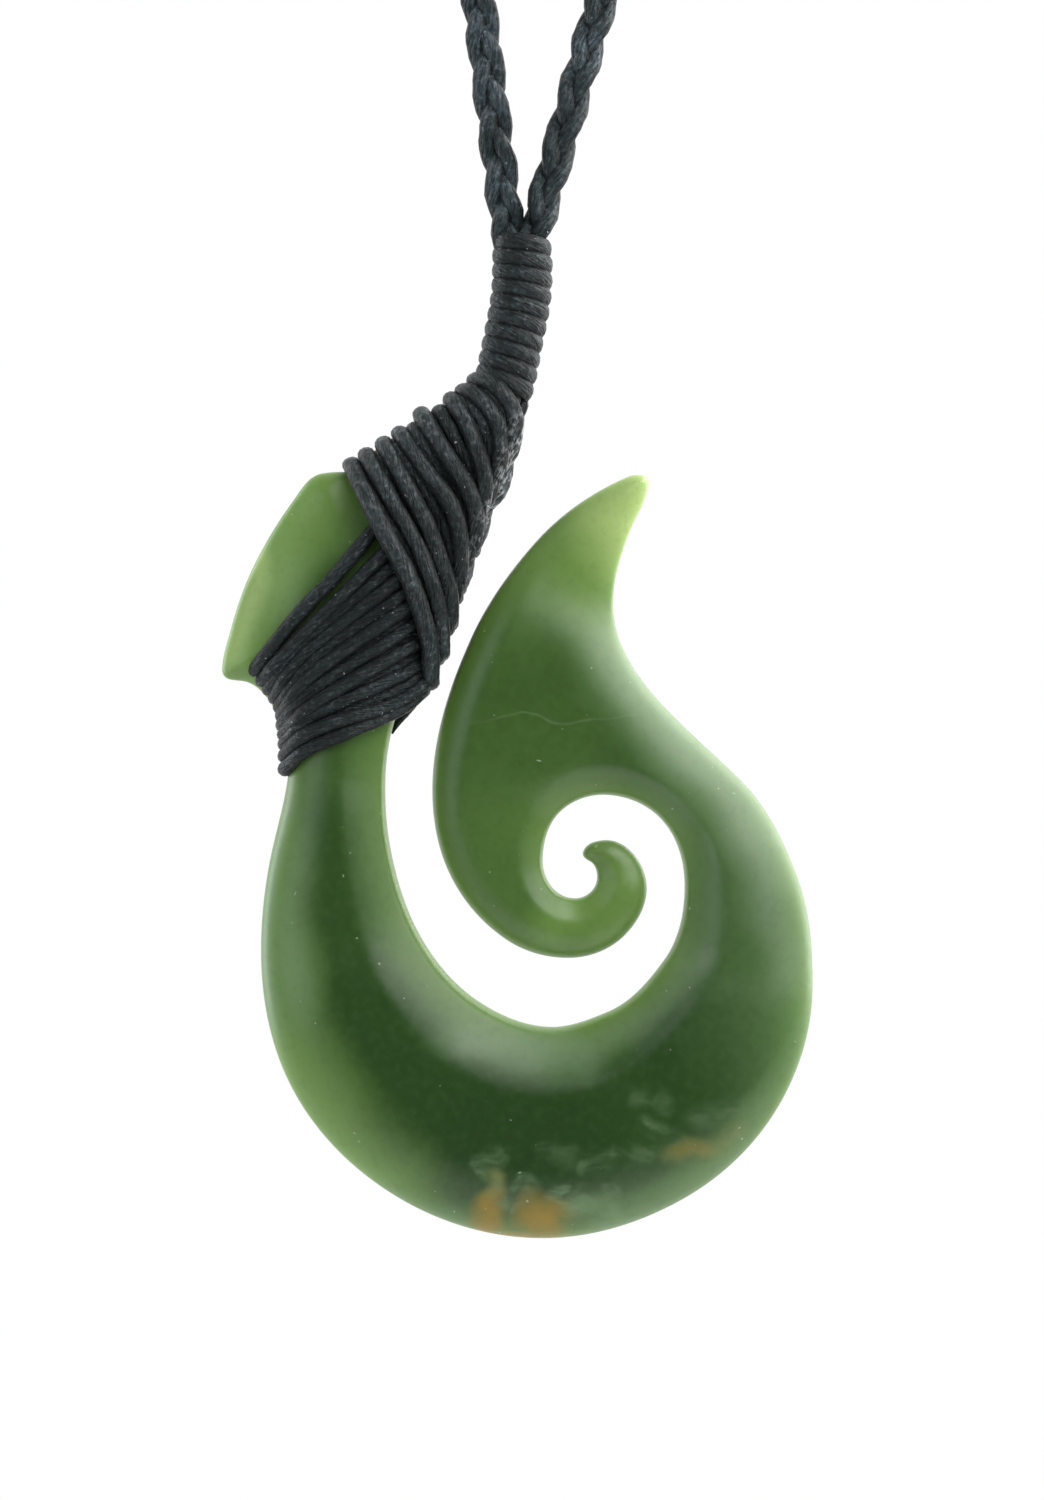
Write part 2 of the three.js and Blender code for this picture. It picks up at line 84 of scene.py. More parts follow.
SPOT_FALLOFF = 4
POINTS_AT_ONCE = 2000
TINY = 1e-6
MERGE_DISTANCE = 1e-5
LEAST_SQUARE = 1e-18
LEAST_SPAN = 1e-12

# Waxed cord: how finely it is made, its twist and its unevenness
CORD_SIDES = 12
CORD_STEP = 0.30 * MM
PLY_TWIST = 13 * MM
PLY_RELIEF = 0.04
PLY_MIDDLE = 0.6
LUMP_RELIEF = 0.035
LUMP_STEPS = (4700, 2300)
LUMPS_AROUND = 3
LAID_PROFILE = (CORD_SIDES, PLY_RELIEF, LUMP_RELIEF)
SPLINE_STEP = 0.3 * MM
SMOOTHING_ROUNDS = 4
SWELL = 0.05
SWELL_STEPS = (0.043, 0.017)

# Lashings: the cord's thickness, how much wider than thick it is, how far it stands off the stone,
# how it rounds the ends of a turn and how thick the bundle is that it goes over. Lower turns lie
# at two heights by turns. The upper pairs are for the first and the last turn.
LOWER_CORD = 1.04 * MM
LOWER_FLATTENING = 1.04
LOWER_LIFTS = (0.58 * LOWER_CORD, 0.82 * LOWER_CORD)
LOWER_END_RADIUS = 1.5 * MM
LOWER_UNDER_LIFT = 0.15 * LOWER_CORD
LOWER_UNDER_RADIUS = 1.2 * MM
UPPER_CORD = 1.12 * MM
UPPER_FLATTENING = 1.20
UPPER_LIFT = 1.3 * LOWER_CORD + UPPER_CORD / 2
UPPER_END_RADII = (2.3 * MM, 1.7 * MM)
UPPER_CORE_DEPTHS = (3.6 * MM, 1.7 * MM)
UNDER_STEP = 0.75 * MM
UNDER_RADIUS_STEP = 0.3 * MM
BETWEEN_SAMPLES = 48
TURN_SAMPLES = 60
EASE_SAMPLES = 240

# Whipping
WHIPPING_TURNS = 10
WHIPPING_PITCH = 1.13 * MM
WHIPPING_WIDTH = 4.6 * MM
WHIPPING_DEPTH = 4.0 * MM
WHIPPING_LEAN = 16
WHIPPING_CORD_WIDTH = 1.36 * MM
WHIPPING_CORD_DEPTH = 0.80 * MM
WHIPPING_TOP_TAPER = 0.22 * MM
WHIPPING_TAPER_START = 0.88
WHIPPING_SAMPLES = 36
WHIPPING_TUCK_SAMPLES = 12
WHIPPING_TUCK_SHARE = 0.45
WHIPPING_INSET = 0.12
WHIPPING_UNEVENNESS = 0.05 * MM
WHIPPING_UNEVEN_STEP = 7.3

# Bundle of cords inside the whipping and the upper lashing: places in the photograph's pixels,
# then its width and depth at its foot and at its top
CORE_PIXELS = [(452, 560), (470, 500), (486, 440), (500, 402)]
CORE_TOP_REACH = 0.35 * MM
CORE_WIDTHS = (2.0 * MM, 3.9 * MM)
CORE_DEPTHS = (2.6 * MM, 3.4 * MM)
CORE_LEAST_END = 0.2
CORE_END_SHARE = 1 / 12
CORE_STEP = 0.5 * MM
CORE_SIDES = 24

# Plaits: three strands that swing from side to side and from front to back
STRANDS = 3
PLAIT_PERIOD = 11.0 * MM
PLAIT_SWING = 0.68 * MM
PLAIT_DEPTH = 0.52 * MM
PLAIT_STRAND_WIDTH = 1.26 * MM
PLAIT_STRAND_DEPTH = 1.02 * MM
PLAIT_SWAYS = [(0.22, 8.3 * MM), (0.12, 3.1 * MM)]
PLAIT_PHASE = 0.6
PLAIT_TUCK = 0.25
PLAIT_TUCK_SHARE = 1 / 200
PLAIT_STEP = 0.50 * MM
PLAIT_SIDES = 10
PLAIT_LUMP_RELIEF = 0.075
PLAITED_PROFILE = (PLAIT_SIDES, PLY_RELIEF, PLAIT_LUMP_RELIEF)
STRAND_OFFSET = 3.7 * MM
STRAND_NARROW = 0.94
STRAND_SWELL = 0.14

# Neck cord: where its arms start at the whipping, how they lean and the arc at the nape
ARM_STARTS = {-1: 0.92 * MM, 1: 0.30 * MM}
ARM_TUCK = 1.5 * MM
LEFT_ARM_LEAN = 7
RIGHT_ARM_LEAN = 16
ARM_SAMPLES = 60
LOOP_RADIUS = 51 * MM
LOOP_RISE = 244 * MM
LOOP_SHIFT = 10 * MM
LOOP_DIP = 12.5
ARM_HANDLE_SHARE = 0.35
LOOP_SAMPLES = 90
NECK_CORD_RADIUS = 1.1 * MM

# Plaited tail and how it narrows at its cut end
TAIL_DIAMETER = 2.0 * MM
TAIL_SWING = 0.58 * MM
TAIL_DEPTH = 0.44 * MM
TAIL_STRAND_WIDTH = 1.12 * MM
TAIL_STRAND_DEPTH = 1.04 * MM
TAIL_PHASE = 1.0
TAIL_STEP = 0.35 * MM
TAIL_END_START = 0.87
TAIL_END_FADE = 0.92

# Stone's colours from its thin edge to its full depth, and those of its grain and its dust
STONE_BY_DEPTH = [
    (0.0, (0.176, 0.292, 0.080)), (0.30, (0.128, 0.236, 0.046)), (0.55, (0.077, 0.168, 0.029)),
    (0.80, (0.025, 0.078, 0.0085)), (1.0, (0.0135, 0.052, 0.0048)),
]
LIGHT_GRAIN = (0.130, 0.215, 0.085)
DARK_GRAIN = (0.003, 0.012, 0.0015)
DUST_COLOUR = (0.40, 0.48, 0.34)

# Noises in the stone, as scale, detail and distortion, and how far two of them shift the strokes
CLOUD = (70, 4.0, 0.6)
FINE = (900, 4.0)
DRIFT = (140, 2.0)
DRIFT_REACH = (0.0035, 0.0, 0.0035)
SWIRL = (520, 3.0, 0.4)
SWIRL_REACH = (0.0014, 0.0, 0.0014)
THREAD = (1100, 2.0)
THREAD_SLANT = (0, math.radians(35), 0)
THREAD_STRETCH = (0.42, 1, 1)
GRAIN = (1500, 3.0)
DUST = (1900, 1.0)
STONE_CONSTANTS = {
    "IOR": 1.61,
    "Specular IOR Level": 0.42,
    "Subsurface Weight": 0.18,
    "Subsurface Radius": (0.45, 1.0, 0.35),
    "Subsurface Scale": 0.0018,
}

# Colours on the stone, and strokes of them as (x, y, x, y, width, strength) in the photograph's
# pixels: painted glow where light shines through the thin edges and the tip, paler stone partly
# with painted sheen, painted sheen on the right edge and the inner bevel, wisps, olive streaks,
# rust spots and a thin vein.
# A stroke fades out over its width times STROKE_REACH.
STROKE_REACH = 1.5
# Painted glow: lighter green where light shines through the stone's thin edges
BACKLIT_GLOW_COLOUR = (0.175, 0.325, 0.066)
BACKLIT_GLOWS = [
    (236, 655, 296, 505, 40, 1.0), (634, 490, 598, 562, 58, 0.62), (256, 850, 275, 1060, 48, 0.78),
    (275, 1060, 372, 1185, 58, 0.84), (625, 880, 560, 935, 30, 0.55), (640, 870, 600, 925, 24, 0.45),
]
# Painted glow at the fluke's tip and the head's left edge, where light shines through thin stone
TIP_GLOW_COLOUR = (0.520, 0.680, 0.240)
BACKLIT_TIP_GLOWS = [(652, 466, 628, 522, 50, 0.80), (226, 665, 262, 560, 14, 0.40)]
# Painted sheen: a whitish haze of reflected light along the right edge and the inner bevel's bottom
PAINTED_SHEEN_COLOUR = (0.300, 0.385, 0.270)
PAINTED_SHEENS = [
    (612, 640, 668, 728, 26, 0.26), (668, 728, 752, 842, 34, 0.30), (752, 842, 786, 965, 28, 0.26),
    (470, 1046, 588, 1053, 18, 0.21), (588, 1053, 637, 1022, 16, 0.20), (637, 1022, 672, 992, 14, 0.20),
    (672, 992, 700, 960, 12, 0.16),
]
# Partly paler stone near the foot, partly painted sheen on the right edge and the inner bevel's bottom
PALE_AND_SHEEN_COLOUR = (0.120, 0.225, 0.080)
PALE_AND_SHEEN_ZONES = [
    (600, 1230, 735, 1155, 18, 0.60), (370, 1185, 470, 1232, 12, 0.50), (735, 1155, 800, 1020, 20, 0.45),
    (575, 1207, 620, 1208, 14, 0.65), (720, 860, 760, 1000, 80, 0.42), (640, 660, 740, 850, 55, 0.45),
    (455, 1035, 575, 1066, 22, 0.42), (850, 800, 895, 980, 40, 0.40), (262, 800, 268, 1000, 44, 0.55),
]
WISP_COLOUR = (0.205, 0.325, 0.160)
WISPS = [
    (480, 1161, 493, 1152, 12, 0.38), (473, 1160, 479, 1175, 6, 0.42), (504, 1204, 520, 1182, 9, 0.40),
    (516, 1206, 532, 1184, 9, 0.38), (551, 1196, 561, 1186, 7, 0.70), (557, 1203, 569, 1206, 7, 0.55),
    (575, 1204, 606, 1212, 18, 0.38), (610, 1195, 624, 1192, 8, 0.32), (548, 1147, 598, 1163, 11, 0.20),
    (586, 1164, 619, 1158, 9, 0.40), (619, 1158, 660, 1149, 9, 0.26), (649, 1122, 677, 1134, 10, 0.34),
    (633, 1100, 670, 1099, 11, 0.26), (702, 1111, 743, 1102, 13, 0.22),
]
OLIVE_COLOUR = (0.190, 0.230, 0.070)
OLIVE_STREAKS = [
    (492, 1174, 490, 1198, 10, 0.85), (718, 1138, 736, 1128, 12, 0.45), (678, 1150, 712, 1143, 12, 0.45),
]
RUST_COLOUR = (0.288, 0.192, 0.001)
RUST_SPOTS = [
    (487, 1208, 491, 1222, 17, 0.95), (536, 1215, 546, 1218, 22, 1.0), (490, 1233, 550, 1233, 7, 0.8),
    (684, 1147, 702, 1144, 9, 0.30),
]
VEIN = [
    (474, 722, 498, 717, 1.5, 0.08), (498, 717, 524, 710, 1.5, 0.2), (524, 710, 559, 716, 1.5, 0.25),
    (559, 716, 596, 713, 1.5, 0.22), (596, 713, 615, 718, 1.5, 0.14), (615, 718, 634, 717, 1.5, 0.12),
]

# Where the tail's worn, torn strands show beside the upper lashing, lighter and with painted glints: two
# ends and a width, in pixels
FRAYED_AND_GLINT_EDGE = ((486, 556), (526, 430), 17)

# Cord's colours: where it is plain and where it is waxed, in its three finishes. The upper
# lashing's finish is the same cord painted lighter, for the light that falls on it from the upper right.
WAXED_COLOURS = ((0.0250, 0.0380, 0.0400), (0.130, 0.155, 0.160))
UPPER_LIT_COLOURS = ((0.0420, 0.0580, 0.0600), (0.165, 0.190, 0.195))
PLAITED_COLOURS = ((0.0720, 0.1080, 0.1240), (0.230, 0.285, 0.320))
# Dark fibres, and the painted shade in the grooves between turns and in the seams between plies
DARK_FIBRE_AND_SHADE_COLOUR = (0.0008, 0.0018, 0.0020)
WORN_COLOUR = (0.003, 0.007, 0.006)
# Lighter torn strands with painted glints
FRAYED_AND_GLINT_COLOUR = (0.42, 0.44, 0.45)
SPECK_COLOUR = (0.55, 0.57, 0.58)

# Noises on the cord, as scale and detail, and two along its plies, as stretch, scale and detail
WAX = (1300, 4.0)
MOTTLE = (2700, 3.0)
WORN = (170, 3.0)
SPECK = (3600, 1.0)
FIBRE = (0.60, 3.4, 3.0)
SEAM = (0.22, 1.3, 2.0)
CORD_CONSTANTS = {"Sheen Weight": 0.05, "Sheen Roughness": 0.35, "IOR": 1.36}

# Camera: the photograph's frame and where the hook stands in it
PHOTO_WIDTH = 1044
PHOTO_HEIGHT = 1500
PIXEL = 0.075 * MM
HOOK_LEFT_PIXEL = 222
HOOK_FOOT_PIXEL = 1238
CAMERA_DISTANCE = 300 * MM
SENSOR = 36.0
CLIP_START = 0.01

# White room: its brightness in front of the pendant and behind it, and where it changes
ROOM_FRONT = 0.04
ROOM_BACK = 1.20
ROOM_CHANGE = (-0.75, 0.55)

# Softboxes: a name, the place from the middle of the hook, the size, the power and the colour
PLAIN_LIGHT = (1, 1, 1)
COOL_LIGHT = (0.90, 0.95, 1.0)
SOFTBOXES = [
    ("right softbox", (0.40, -0.20, 0.36), (0.62, 0.62), 3.5, PLAIN_LIGHT),
    ("right back softbox", (0.42, 0.20, 0.24), (0.44, 0.66), 2.8, PLAIN_LIGHT),
    ("front softbox", (0.16, -0.42, 0.34), (0.30, 0.22), 0.6, PLAIN_LIGHT),
    ("left softbox", (-0.36, -0.38, 0.08), (0.30, 0.45), 0.6, COOL_LIGHT),
    ("left back softbox", (-0.46, 0.16, 0.10), (0.20, 0.50), 1.2, COOL_LIGHT),
]

# Round floor, far enough below the pendant's foot for no shadow in the picture
FLOOR_DROP = 0.32
FLOOR_REACH = 0.80
FLOOR_SIDES = 96
FLOOR_COLOUR = (0.78, 0.78, 0.78, 1)
FLOOR_ROUGHNESS = 0.9

WHIPPING_TOP = Vector((-LOOP_SHIFT, 0, -(LOOP_RISE + LOOP_RADIUS - NECK_CORD_RADIUS)))

# The stone's edge, anticlockwise seen from the front: shares of the hook's width and height,
# the edge's direction in degrees and the width of the rolled or bevelled edge.
OUTER_EDGE = [
    (0.208, 1.001, 178, 0.08), (0.169, 0.999, 190, 0.09), (0.120, 0.963, 234, 0.11),
    (0.058, 0.885, 243, 0.12), (0.015, 0.796, 255, 0.11), (0.000, 0.743, 268, 0.08),
    (0.012, 0.730, 345, 0.07), (0.047, 0.725, 335, 0.07), (0.096, 0.681, 299, 0.08),
    (0.113, 0.616, 266, 0.10), (0.081, 0.493, 259, 0.12), (0.066, 0.376, 270, 0.13),
    (0.130, 0.180, 301, 0.14), (0.305, 0.050, 330, 0.14), (0.543, 0.000, 0, 0.14),
    (0.778, 0.050, 29, 0.14), (0.948, 0.180, 61, 0.14), (1.000, 0.330, 90, 0.14),
    (0.976, 0.467, 110, 0.14), (0.878, 0.598, 135, 0.14), (0.739, 0.702, 132, 0.13),
    (0.662, 0.828, 90, 0.11), (0.690, 0.922, 68, 0.07), (0.723, 0.984, 80, 0.04),
]
LEAF_EDGE = [
    (0.712, 0.997, 168, 0.04), (0.668, 0.988, 206, 0.045), (0.533, 0.911, 228, 0.06),
    (0.420, 0.781, 246, 0.065), (0.356, 0.585, 270, 0.065), (0.391, 0.467, 298, 0.065),
    (0.481, 0.390, 326, 0.06), (0.589, 0.366, 1, 0.055), (0.685, 0.398, 47, 0.05),
    (0.719, 0.460, 93, 0.05), (0.694, 0.504, 133, 0.045), (0.648, 0.520, 183, 0.04),
    (0.611, 0.504, 255, 0.03),
]
INNER_EDGE = [
    (0.621, 0.493, 335, 0.03), (0.635, 0.471, 268, 0.035), (0.596, 0.444, 178, 0.04),
    (0.543, 0.496, 88, 0.042), (0.577, 0.560, 40, 0.045), (0.651, 0.579, 357, 0.05),
    (0.745, 0.546, 312, 0.05), (0.783, 0.460, 270, 0.06), (0.748, 0.363, 234, 0.08),
    (0.651, 0.295, 202, 0.10), (0.555, 0.276, 178, 0.115), (0.437, 0.308, 147, 0.115),
    (0.335, 0.396, 119, 0.095), (0.286, 0.507, 101, 0.08), (0.277, 0.604, 88, 0.075),
    (0.301, 0.695, 69, 0.075), (0.345, 0.768, 68, 0.075), (0.362, 0.852, 94, 0.075),
    (0.332, 0.950, 121, 0.075), (0.267, 0.995, 160, 0.07),
]

# The stone's thickness at chosen places, as a share of HOOK_DEPTH.
THICKNESS_SPOTS = [
    (0.03, 0.76, 0.42), (0.18, 0.98, 0.44), (0.24, 0.85, 0.66), (0.21, 0.68, 0.72),
    (0.17, 0.50, 0.82), (0.25, 0.24, 0.94), (0.54, 0.13, 1.00), (0.84, 0.24, 0.94),
    (0.88, 0.44, 0.82), (0.74, 0.64, 0.76), (0.53, 0.68, 0.70), (0.66, 0.93, 0.34),
    (0.50, 0.46, 0.60), (0.66, 0.43, 0.44), (0.64, 0.50, 0.34),
]

# Front passes of the lashing cord, from the left outline to the right one, through places in the
# photograph's pixels.
LOWER_STRANDS = [
    [(253, 673), (303, 613), (335, 580), (375, 532), (403, 500)],
    [(261, 682), (300, 641), (336, 605), (386, 555), (414, 528)],
    [(268, 690), (300, 651), (336, 619), (392, 570), (420, 543)],
    [(274, 699), (300, 662), (336, 631), (395, 585), (427, 556)],
    [(279, 708), (302, 677), (336, 644), (395, 603), (430, 575)],
    [(281, 717), (305, 685), (336, 659), (392, 620), (431, 594)],
    [(282, 726), (305, 699), (336, 677), (392, 641), (431, 613)],
    [(283, 735), (308, 711), (336, 692), (386, 663), (430, 636)],
    [(284, 745), (308, 721), (336, 706), (395, 679), (430, 658)],
    [(284, 757), (305, 736), (336, 723), (386, 708), (412, 695), (433, 674)],
    [(284, 770), (309, 749), (336, 738), (361, 727), (388, 716), (410, 703), (424, 690)],
]
UPPER_STRANDS = [
    [(351, 464), (368, 499), (391, 544), (409, 577), (422, 612), (431, 648), (431, 684)],
    [(366, 454), (389, 497), (416, 544), (428, 572), (437, 600), (442, 628), (442, 655)],
    [(383, 443), (405, 484), (427, 525), (440, 561), (448, 585), (451, 605), (450, 625)],
    [(399, 432), (424, 469), (450, 504), (460, 535), (461, 560), (458, 590)],
    [(421, 413), (441, 448), (465, 485), (474, 505), (476, 525), (472, 552)],
    [(451, 398), (469, 430), (483, 470), (485, 490), (481, 511), (476, 526)],
    [(463, 390), (479, 399), (492, 414), (500, 432), (501, 450), (498, 470), (492, 488)],
    [(475, 379), (491, 385), (504, 397), (513, 412), (515, 428), (511, 444), (505, 455)],
]
WHIPPING_FOOT = (0.475, 1.112)
TAIL_ROUTE = [
    (0.482, 1.118, 0.30),
    (0.494, 1.091, 0.60), (0.484, 1.055, 0.80), (0.475, 1.022, 1.00), (0.460, 0.987, 1.10),
    (0.438, 0.957, 1.20), (0.413, 0.905, 1.25), (0.391, 0.859, 1.25), (0.377, 0.829, 1.25),
    (0.352, 0.781, 1.20), (0.338, 0.748, 1.10), (0.319, 0.713, 1.00), (0.300, 0.684, 0.90),
    (0.287, 0.659, 0.80),
]


def on_hook(u, v):
    """A place on the hook's front view, in metres in the shared frame."""
    return Vector((hook_low[0] + u * HOOK_WIDTH, hook_low[2] + v * HOOK_HEIGHT))


def on_photo(x, y):
    """A place in the photograph's pixels, in metres in the shared frame."""
    return on_hook(0, 0) + Vector((x - HOOK_LEFT_PIXEL, HOOK_FOOT_PIXEL - y)) * PIXEL


def turned(degrees):
    return Vector((math.cos(math.radians(degrees)), math.sin(math.radians(degrees))))


def upright(flat, y=0.0):
    return Vector((flat[0], y, flat[1]))


def bezier(a, b, c, d, share):
    rest = 1 - share
    return a * rest**3 + b * (3 * rest**2 * share) + c * (3 * rest * share**2) + d * share**3


# Shader maths


class Wire:
    """A node's output, with the sums that the materials use."""

    def __init__(self, tree, socket):
        self.tree = tree
        self.socket = socket

    def node(self, kind, values=None, output=0, **settings):
        """Adds a node: its type, its settings, then the values or wires of its sockets."""
        made = self.tree.nodes.new(kind)
        for name, value in settings.items():
            if name == "stops":
                set_stops(made.color_ramp, value)
            else:
                setattr(made, name, value)
        for name, value in (values or {}).items():
            entry = made.inputs[name]
            if isinstance(value, Wire):
                self.tree.links.new(value.socket, entry)
            else:
                entry.default_value = value
        return Wire(self.tree, made.outputs[output])

    def sum(self, operation, first, second):
        return self.node("ShaderNodeMath", {0: first, 1: second}, operation=operation)

    def __add__(self, other):
        return self.sum("ADD", self, other)

    def __radd__(self, other):
        return self.sum("ADD", other, self)

    def __sub__(self, other):
        return self.sum("SUBTRACT", self, other)

    def __rsub__(self, other):
        return self.sum("SUBTRACT", other, self)

    def __mul__(self, other):
        return self.sum("MULTIPLY", self, other)

    def __rmul__(self, other):
        return self.sum("MULTIPLY", other, self)

    def other_output(self, index):
        """Another output of the same node."""
        return Wire(self.tree, self.socket.node.outputs[index])

    def smooth(self, low, high, start=0.0, end=1.0):
        """Goes from start to end while this goes from low to high, eased at both."""
        values = {"Value": self, "From Min": low, "From Max": high, "To Min": start, "To Max": end}
        return self.node("ShaderNodeMapRange", values, interpolation_type="SMOOTHSTEP")

    def vector(self, operation, first, second):
        return self.node("ShaderNodeVectorMath", {0: first, 1: second}, operation=operation)

    def noise(self, scale, detail, distortion=0.0):
        """A noise over this place."""
        values = {"Vector": self, "Scale": scale, "Detail": detail, "Distortion": distortion}
        return self.node("ShaderNodeTexNoise", values)


def set_stops(ramp, stops):
    while len(ramp.elements) < len(stops):
        ramp.elements.new(1.0)
    for element, (position, colour) in zip(ramp.elements, stops):
        element.position = position
        element.color = (*colour, 1)


def blend(under, over, mask):
    """One colour over another by a mask."""
    under, over = [colour if isinstance(colour, Wire) else (*colour, 1) for colour in (under, over)]
    values = {"Factor": mask, 6: under, 7: over}
    return mask.node("ShaderNodeMix", values, output=2, data_type="RGBA")


def new_material(name, constants):
    material = bpy.data.materials.new(name)
    material.use_nodes = True
    tree = material.node_tree
    shader = tree.nodes["Principled BSDF"]
    for socket, value in constants.items():
        shader.inputs[socket].default_value = value
    return material, shader, Wire(tree, None)


def plug(wire, shader, name):
    wire.tree.links.new(wire.socket, shader.inputs[name])


# Camera, light and floor


def aim_camera():
    centre_x = hook_low[0] + (PHOTO_WIDTH / 2 - HOOK_LEFT_PIXEL) * PIXEL
    centre_z = hook_low[2] + (HOOK_FOOT_PIXEL - PHOTO_HEIGHT / 2) * PIXEL
    lens = bpy.data.cameras.new("camera")
    lens.sensor_width = SENSOR
    lens.lens = SENSOR * CAMERA_DISTANCE / (PHOTO_HEIGHT * PIXEL)
    lens.clip_start = CLIP_START
    camera = bpy.data.objects.new("camera", lens)
    camera.location = (centre_x, -CAMERA_DISTANCE, centre_z)
    camera.rotation_euler = (math.pi / 2, 0, 0)
    bpy.context.collection.objects.link(camera)
    bpy.context.scene.camera = camera


def softbox(name, target, offset, size, power, colour):
    lamp = bpy.data.lights.new(name, "AREA")
    lamp.shape = "RECTANGLE"
    lamp.size, lamp.size_y = size
    lamp.energy = power
    lamp.color = colour
    lamp_object = bpy.data.objects.new(name, lamp)
    lamp_object.location = target + Vector(offset)
    lamp_object.rotation_euler = (-Vector(offset)).to_track_quat("-Z", "Y").to_euler()
    bpy.context.collection.objects.link(lamp_object)


def light_the_studio():
    scene = bpy.context.scene
    scene.view_settings.view_transform = "Standard"
    world = bpy.data.worlds.new("white room")
    scene.world = world
    world.use_nodes = True
    tree = world.node_tree
    background = tree.nodes["Background"]
    background.inputs["Color"].default_value = (1, 1, 1, 1)
    start = Wire(tree, None)
    direction = start.node("ShaderNodeTexCoord")
    ahead = start.node("ShaderNodeSeparateXYZ", {"Vector": direction}, output=1)
    room = ahead.smooth(*ROOM_CHANGE, ROOM_FRONT, ROOM_BACK)
    seen = start.node("ShaderNodeLightPath")
    strength = start.node("ShaderNodeMix", {"Factor": seen, "A": room, "B": 1.0})
    tree.links.new(strength.socket, background.inputs["Strength"])
    middle = Vector(((hook_low[0] + hook_high[0]) / 2, 0, (hook_low[2] + hook_high[2]) / 2))
    for name, *values in SOFTBOXES:
        softbox(name, middle, *values)


def lay_floor():
    mesh = bpy.data.meshes.new("floor")
    bm = bmesh.new()
    bmesh.ops.create_circle(bm, cap_ends=True, segments=FLOOR_SIDES, radius=FLOOR_REACH)
    bm.to_mesh(mesh)
    bm.free()
    floor = bpy.data.objects.new("floor", mesh)
    floor.location = (0, 0, cad_low[2] - FLOOR_DROP)
    bpy.context.collection.objects.link(floor)
    constants = {"Base Color": FLOOR_COLOUR, "Roughness": FLOOR_ROUGHNESS}
    mesh.materials.append(new_material("pale floor", constants)[0])


def stroke_mask(flat, start, end, width):
    """A soft stroke between two places in the photograph's pixels."""
    first = upright(on_photo(*start))
    step = upright(on_photo(*end)) - first
    offset = flat.vector("SUBTRACT", flat, first)
    along = offset.vector("DOT_PRODUCT", offset, step).other_output(1)
    scale = step.length_squared
    share = along.node("ShaderNodeMath", {0: along, 1: scale}, operation="DIVIDE", use_clamp=True)
    reach = share.node("ShaderNodeVectorMath", {0: step, "Scale": share}, operation="SCALE")
    distance = offset.vector("DISTANCE", offset, reach).other_output(1)
    return distance.smooth(0.0, width * PIXEL * STROKE_REACH, 1.0, 0.0)


def paint(under, flat, colour, strokes, fade=None):
    """Strokes of one colour over a colour. Each has its ends, its width and its strength."""
    mask = None
    for x1, y1, x2, y2, width, strength in strokes:
        stroke = stroke_mask(flat, (x1, y1), (x2, y2), width) * strength
        mask = stroke if mask is None else mask.sum("MAXIMUM", mask, stroke)
    return blend(under, colour, mask * fade if fade else mask)


def centred(noise_colour):
    return noise_colour.vector("SUBTRACT", noise_colour, (0.5, 0.5, 0.5))


def greenstone():
    material, shader, start = new_material("greenstone", STONE_CONSTANTS)
    place = start.node("ShaderNodeTexCoord", output=3)
    depth = start.node("ShaderNodeAttribute", output=2, attribute_name="depth")
    fine = place.noise(*FINE)
    thick = depth + (place.noise(*CLOUD) - 0.5) * 0.20
    body = start.node("ShaderNodeValToRGB", {"Fac": thick}, stops=STONE_BY_DEPTH)
    flat = place.vector("MULTIPLY", place, (1, 0, 1))
    drift = centred(place.noise(*DRIFT).other_output(1))
    broad = flat.vector("ADD", flat, drift.vector("MULTIPLY", drift, DRIFT_REACH))
    swirl = centred(place.noise(*SWIRL).other_output(1))
    ragged = broad.vector("ADD", broad, swirl.vector("MULTIPLY", swirl, SWIRL_REACH))
    slant = {"Vector": ragged, "Rotation": THREAD_SLANT, "Scale": THREAD_STRETCH}
    thread = start.node("ShaderNodeMapping", slant).noise(*THREAD).smooth(0.34, 0.66, 0.20, 1.0)
    # Painted glow where light shines through the stone's thin edges
    body = paint(body, broad, BACKLIT_GLOW_COLOUR, BACKLIT_GLOWS)
    # Painted glow at the fluke's tip and the head's left edge
    body = paint(body, broad, TIP_GLOW_COLOUR, BACKLIT_TIP_GLOWS)
    # Paler stone, and painted sheen on the right edge and the inner bevel
    body = paint(body, broad, PALE_AND_SHEEN_COLOUR, PALE_AND_SHEEN_ZONES)
    # Painted sheen of reflected light on the right edge and the inner bevel
    body = paint(body, broad, PAINTED_SHEEN_COLOUR, PAINTED_SHEENS)
    body = paint(body, ragged, WISP_COLOUR, WISPS, thread)
    body = paint(body, ragged, OLIVE_COLOUR, OLIVE_STREAKS)
    body = paint(body, ragged, RUST_COLOUR, RUST_SPOTS)
    body = paint(body, broad, WISP_COLOUR, VEIN)
    grain = place.noise(*GRAIN)
    body = blend(body, LIGHT_GRAIN, grain.smooth(0.46, 0.74) * 0.08)
    body = blend(body, DARK_GRAIN, grain.smooth(0.54, 0.26) * 0.10)
    body = blend(body, DUST_COLOUR, place.noise(*DUST).smooth(0.77, 0.81) * 0.7)
    plug(body, shader, "Base Color")
    roughness = 0.37 + (fine - 0.5) * 0.08
    plug(roughness, shader, "Roughness")
    height = start.node("ShaderNodeBump", {"Height": fine, "Strength": 0.03, "Distance": 0.0002})
    plug(height, shader, "Normal")
    return material


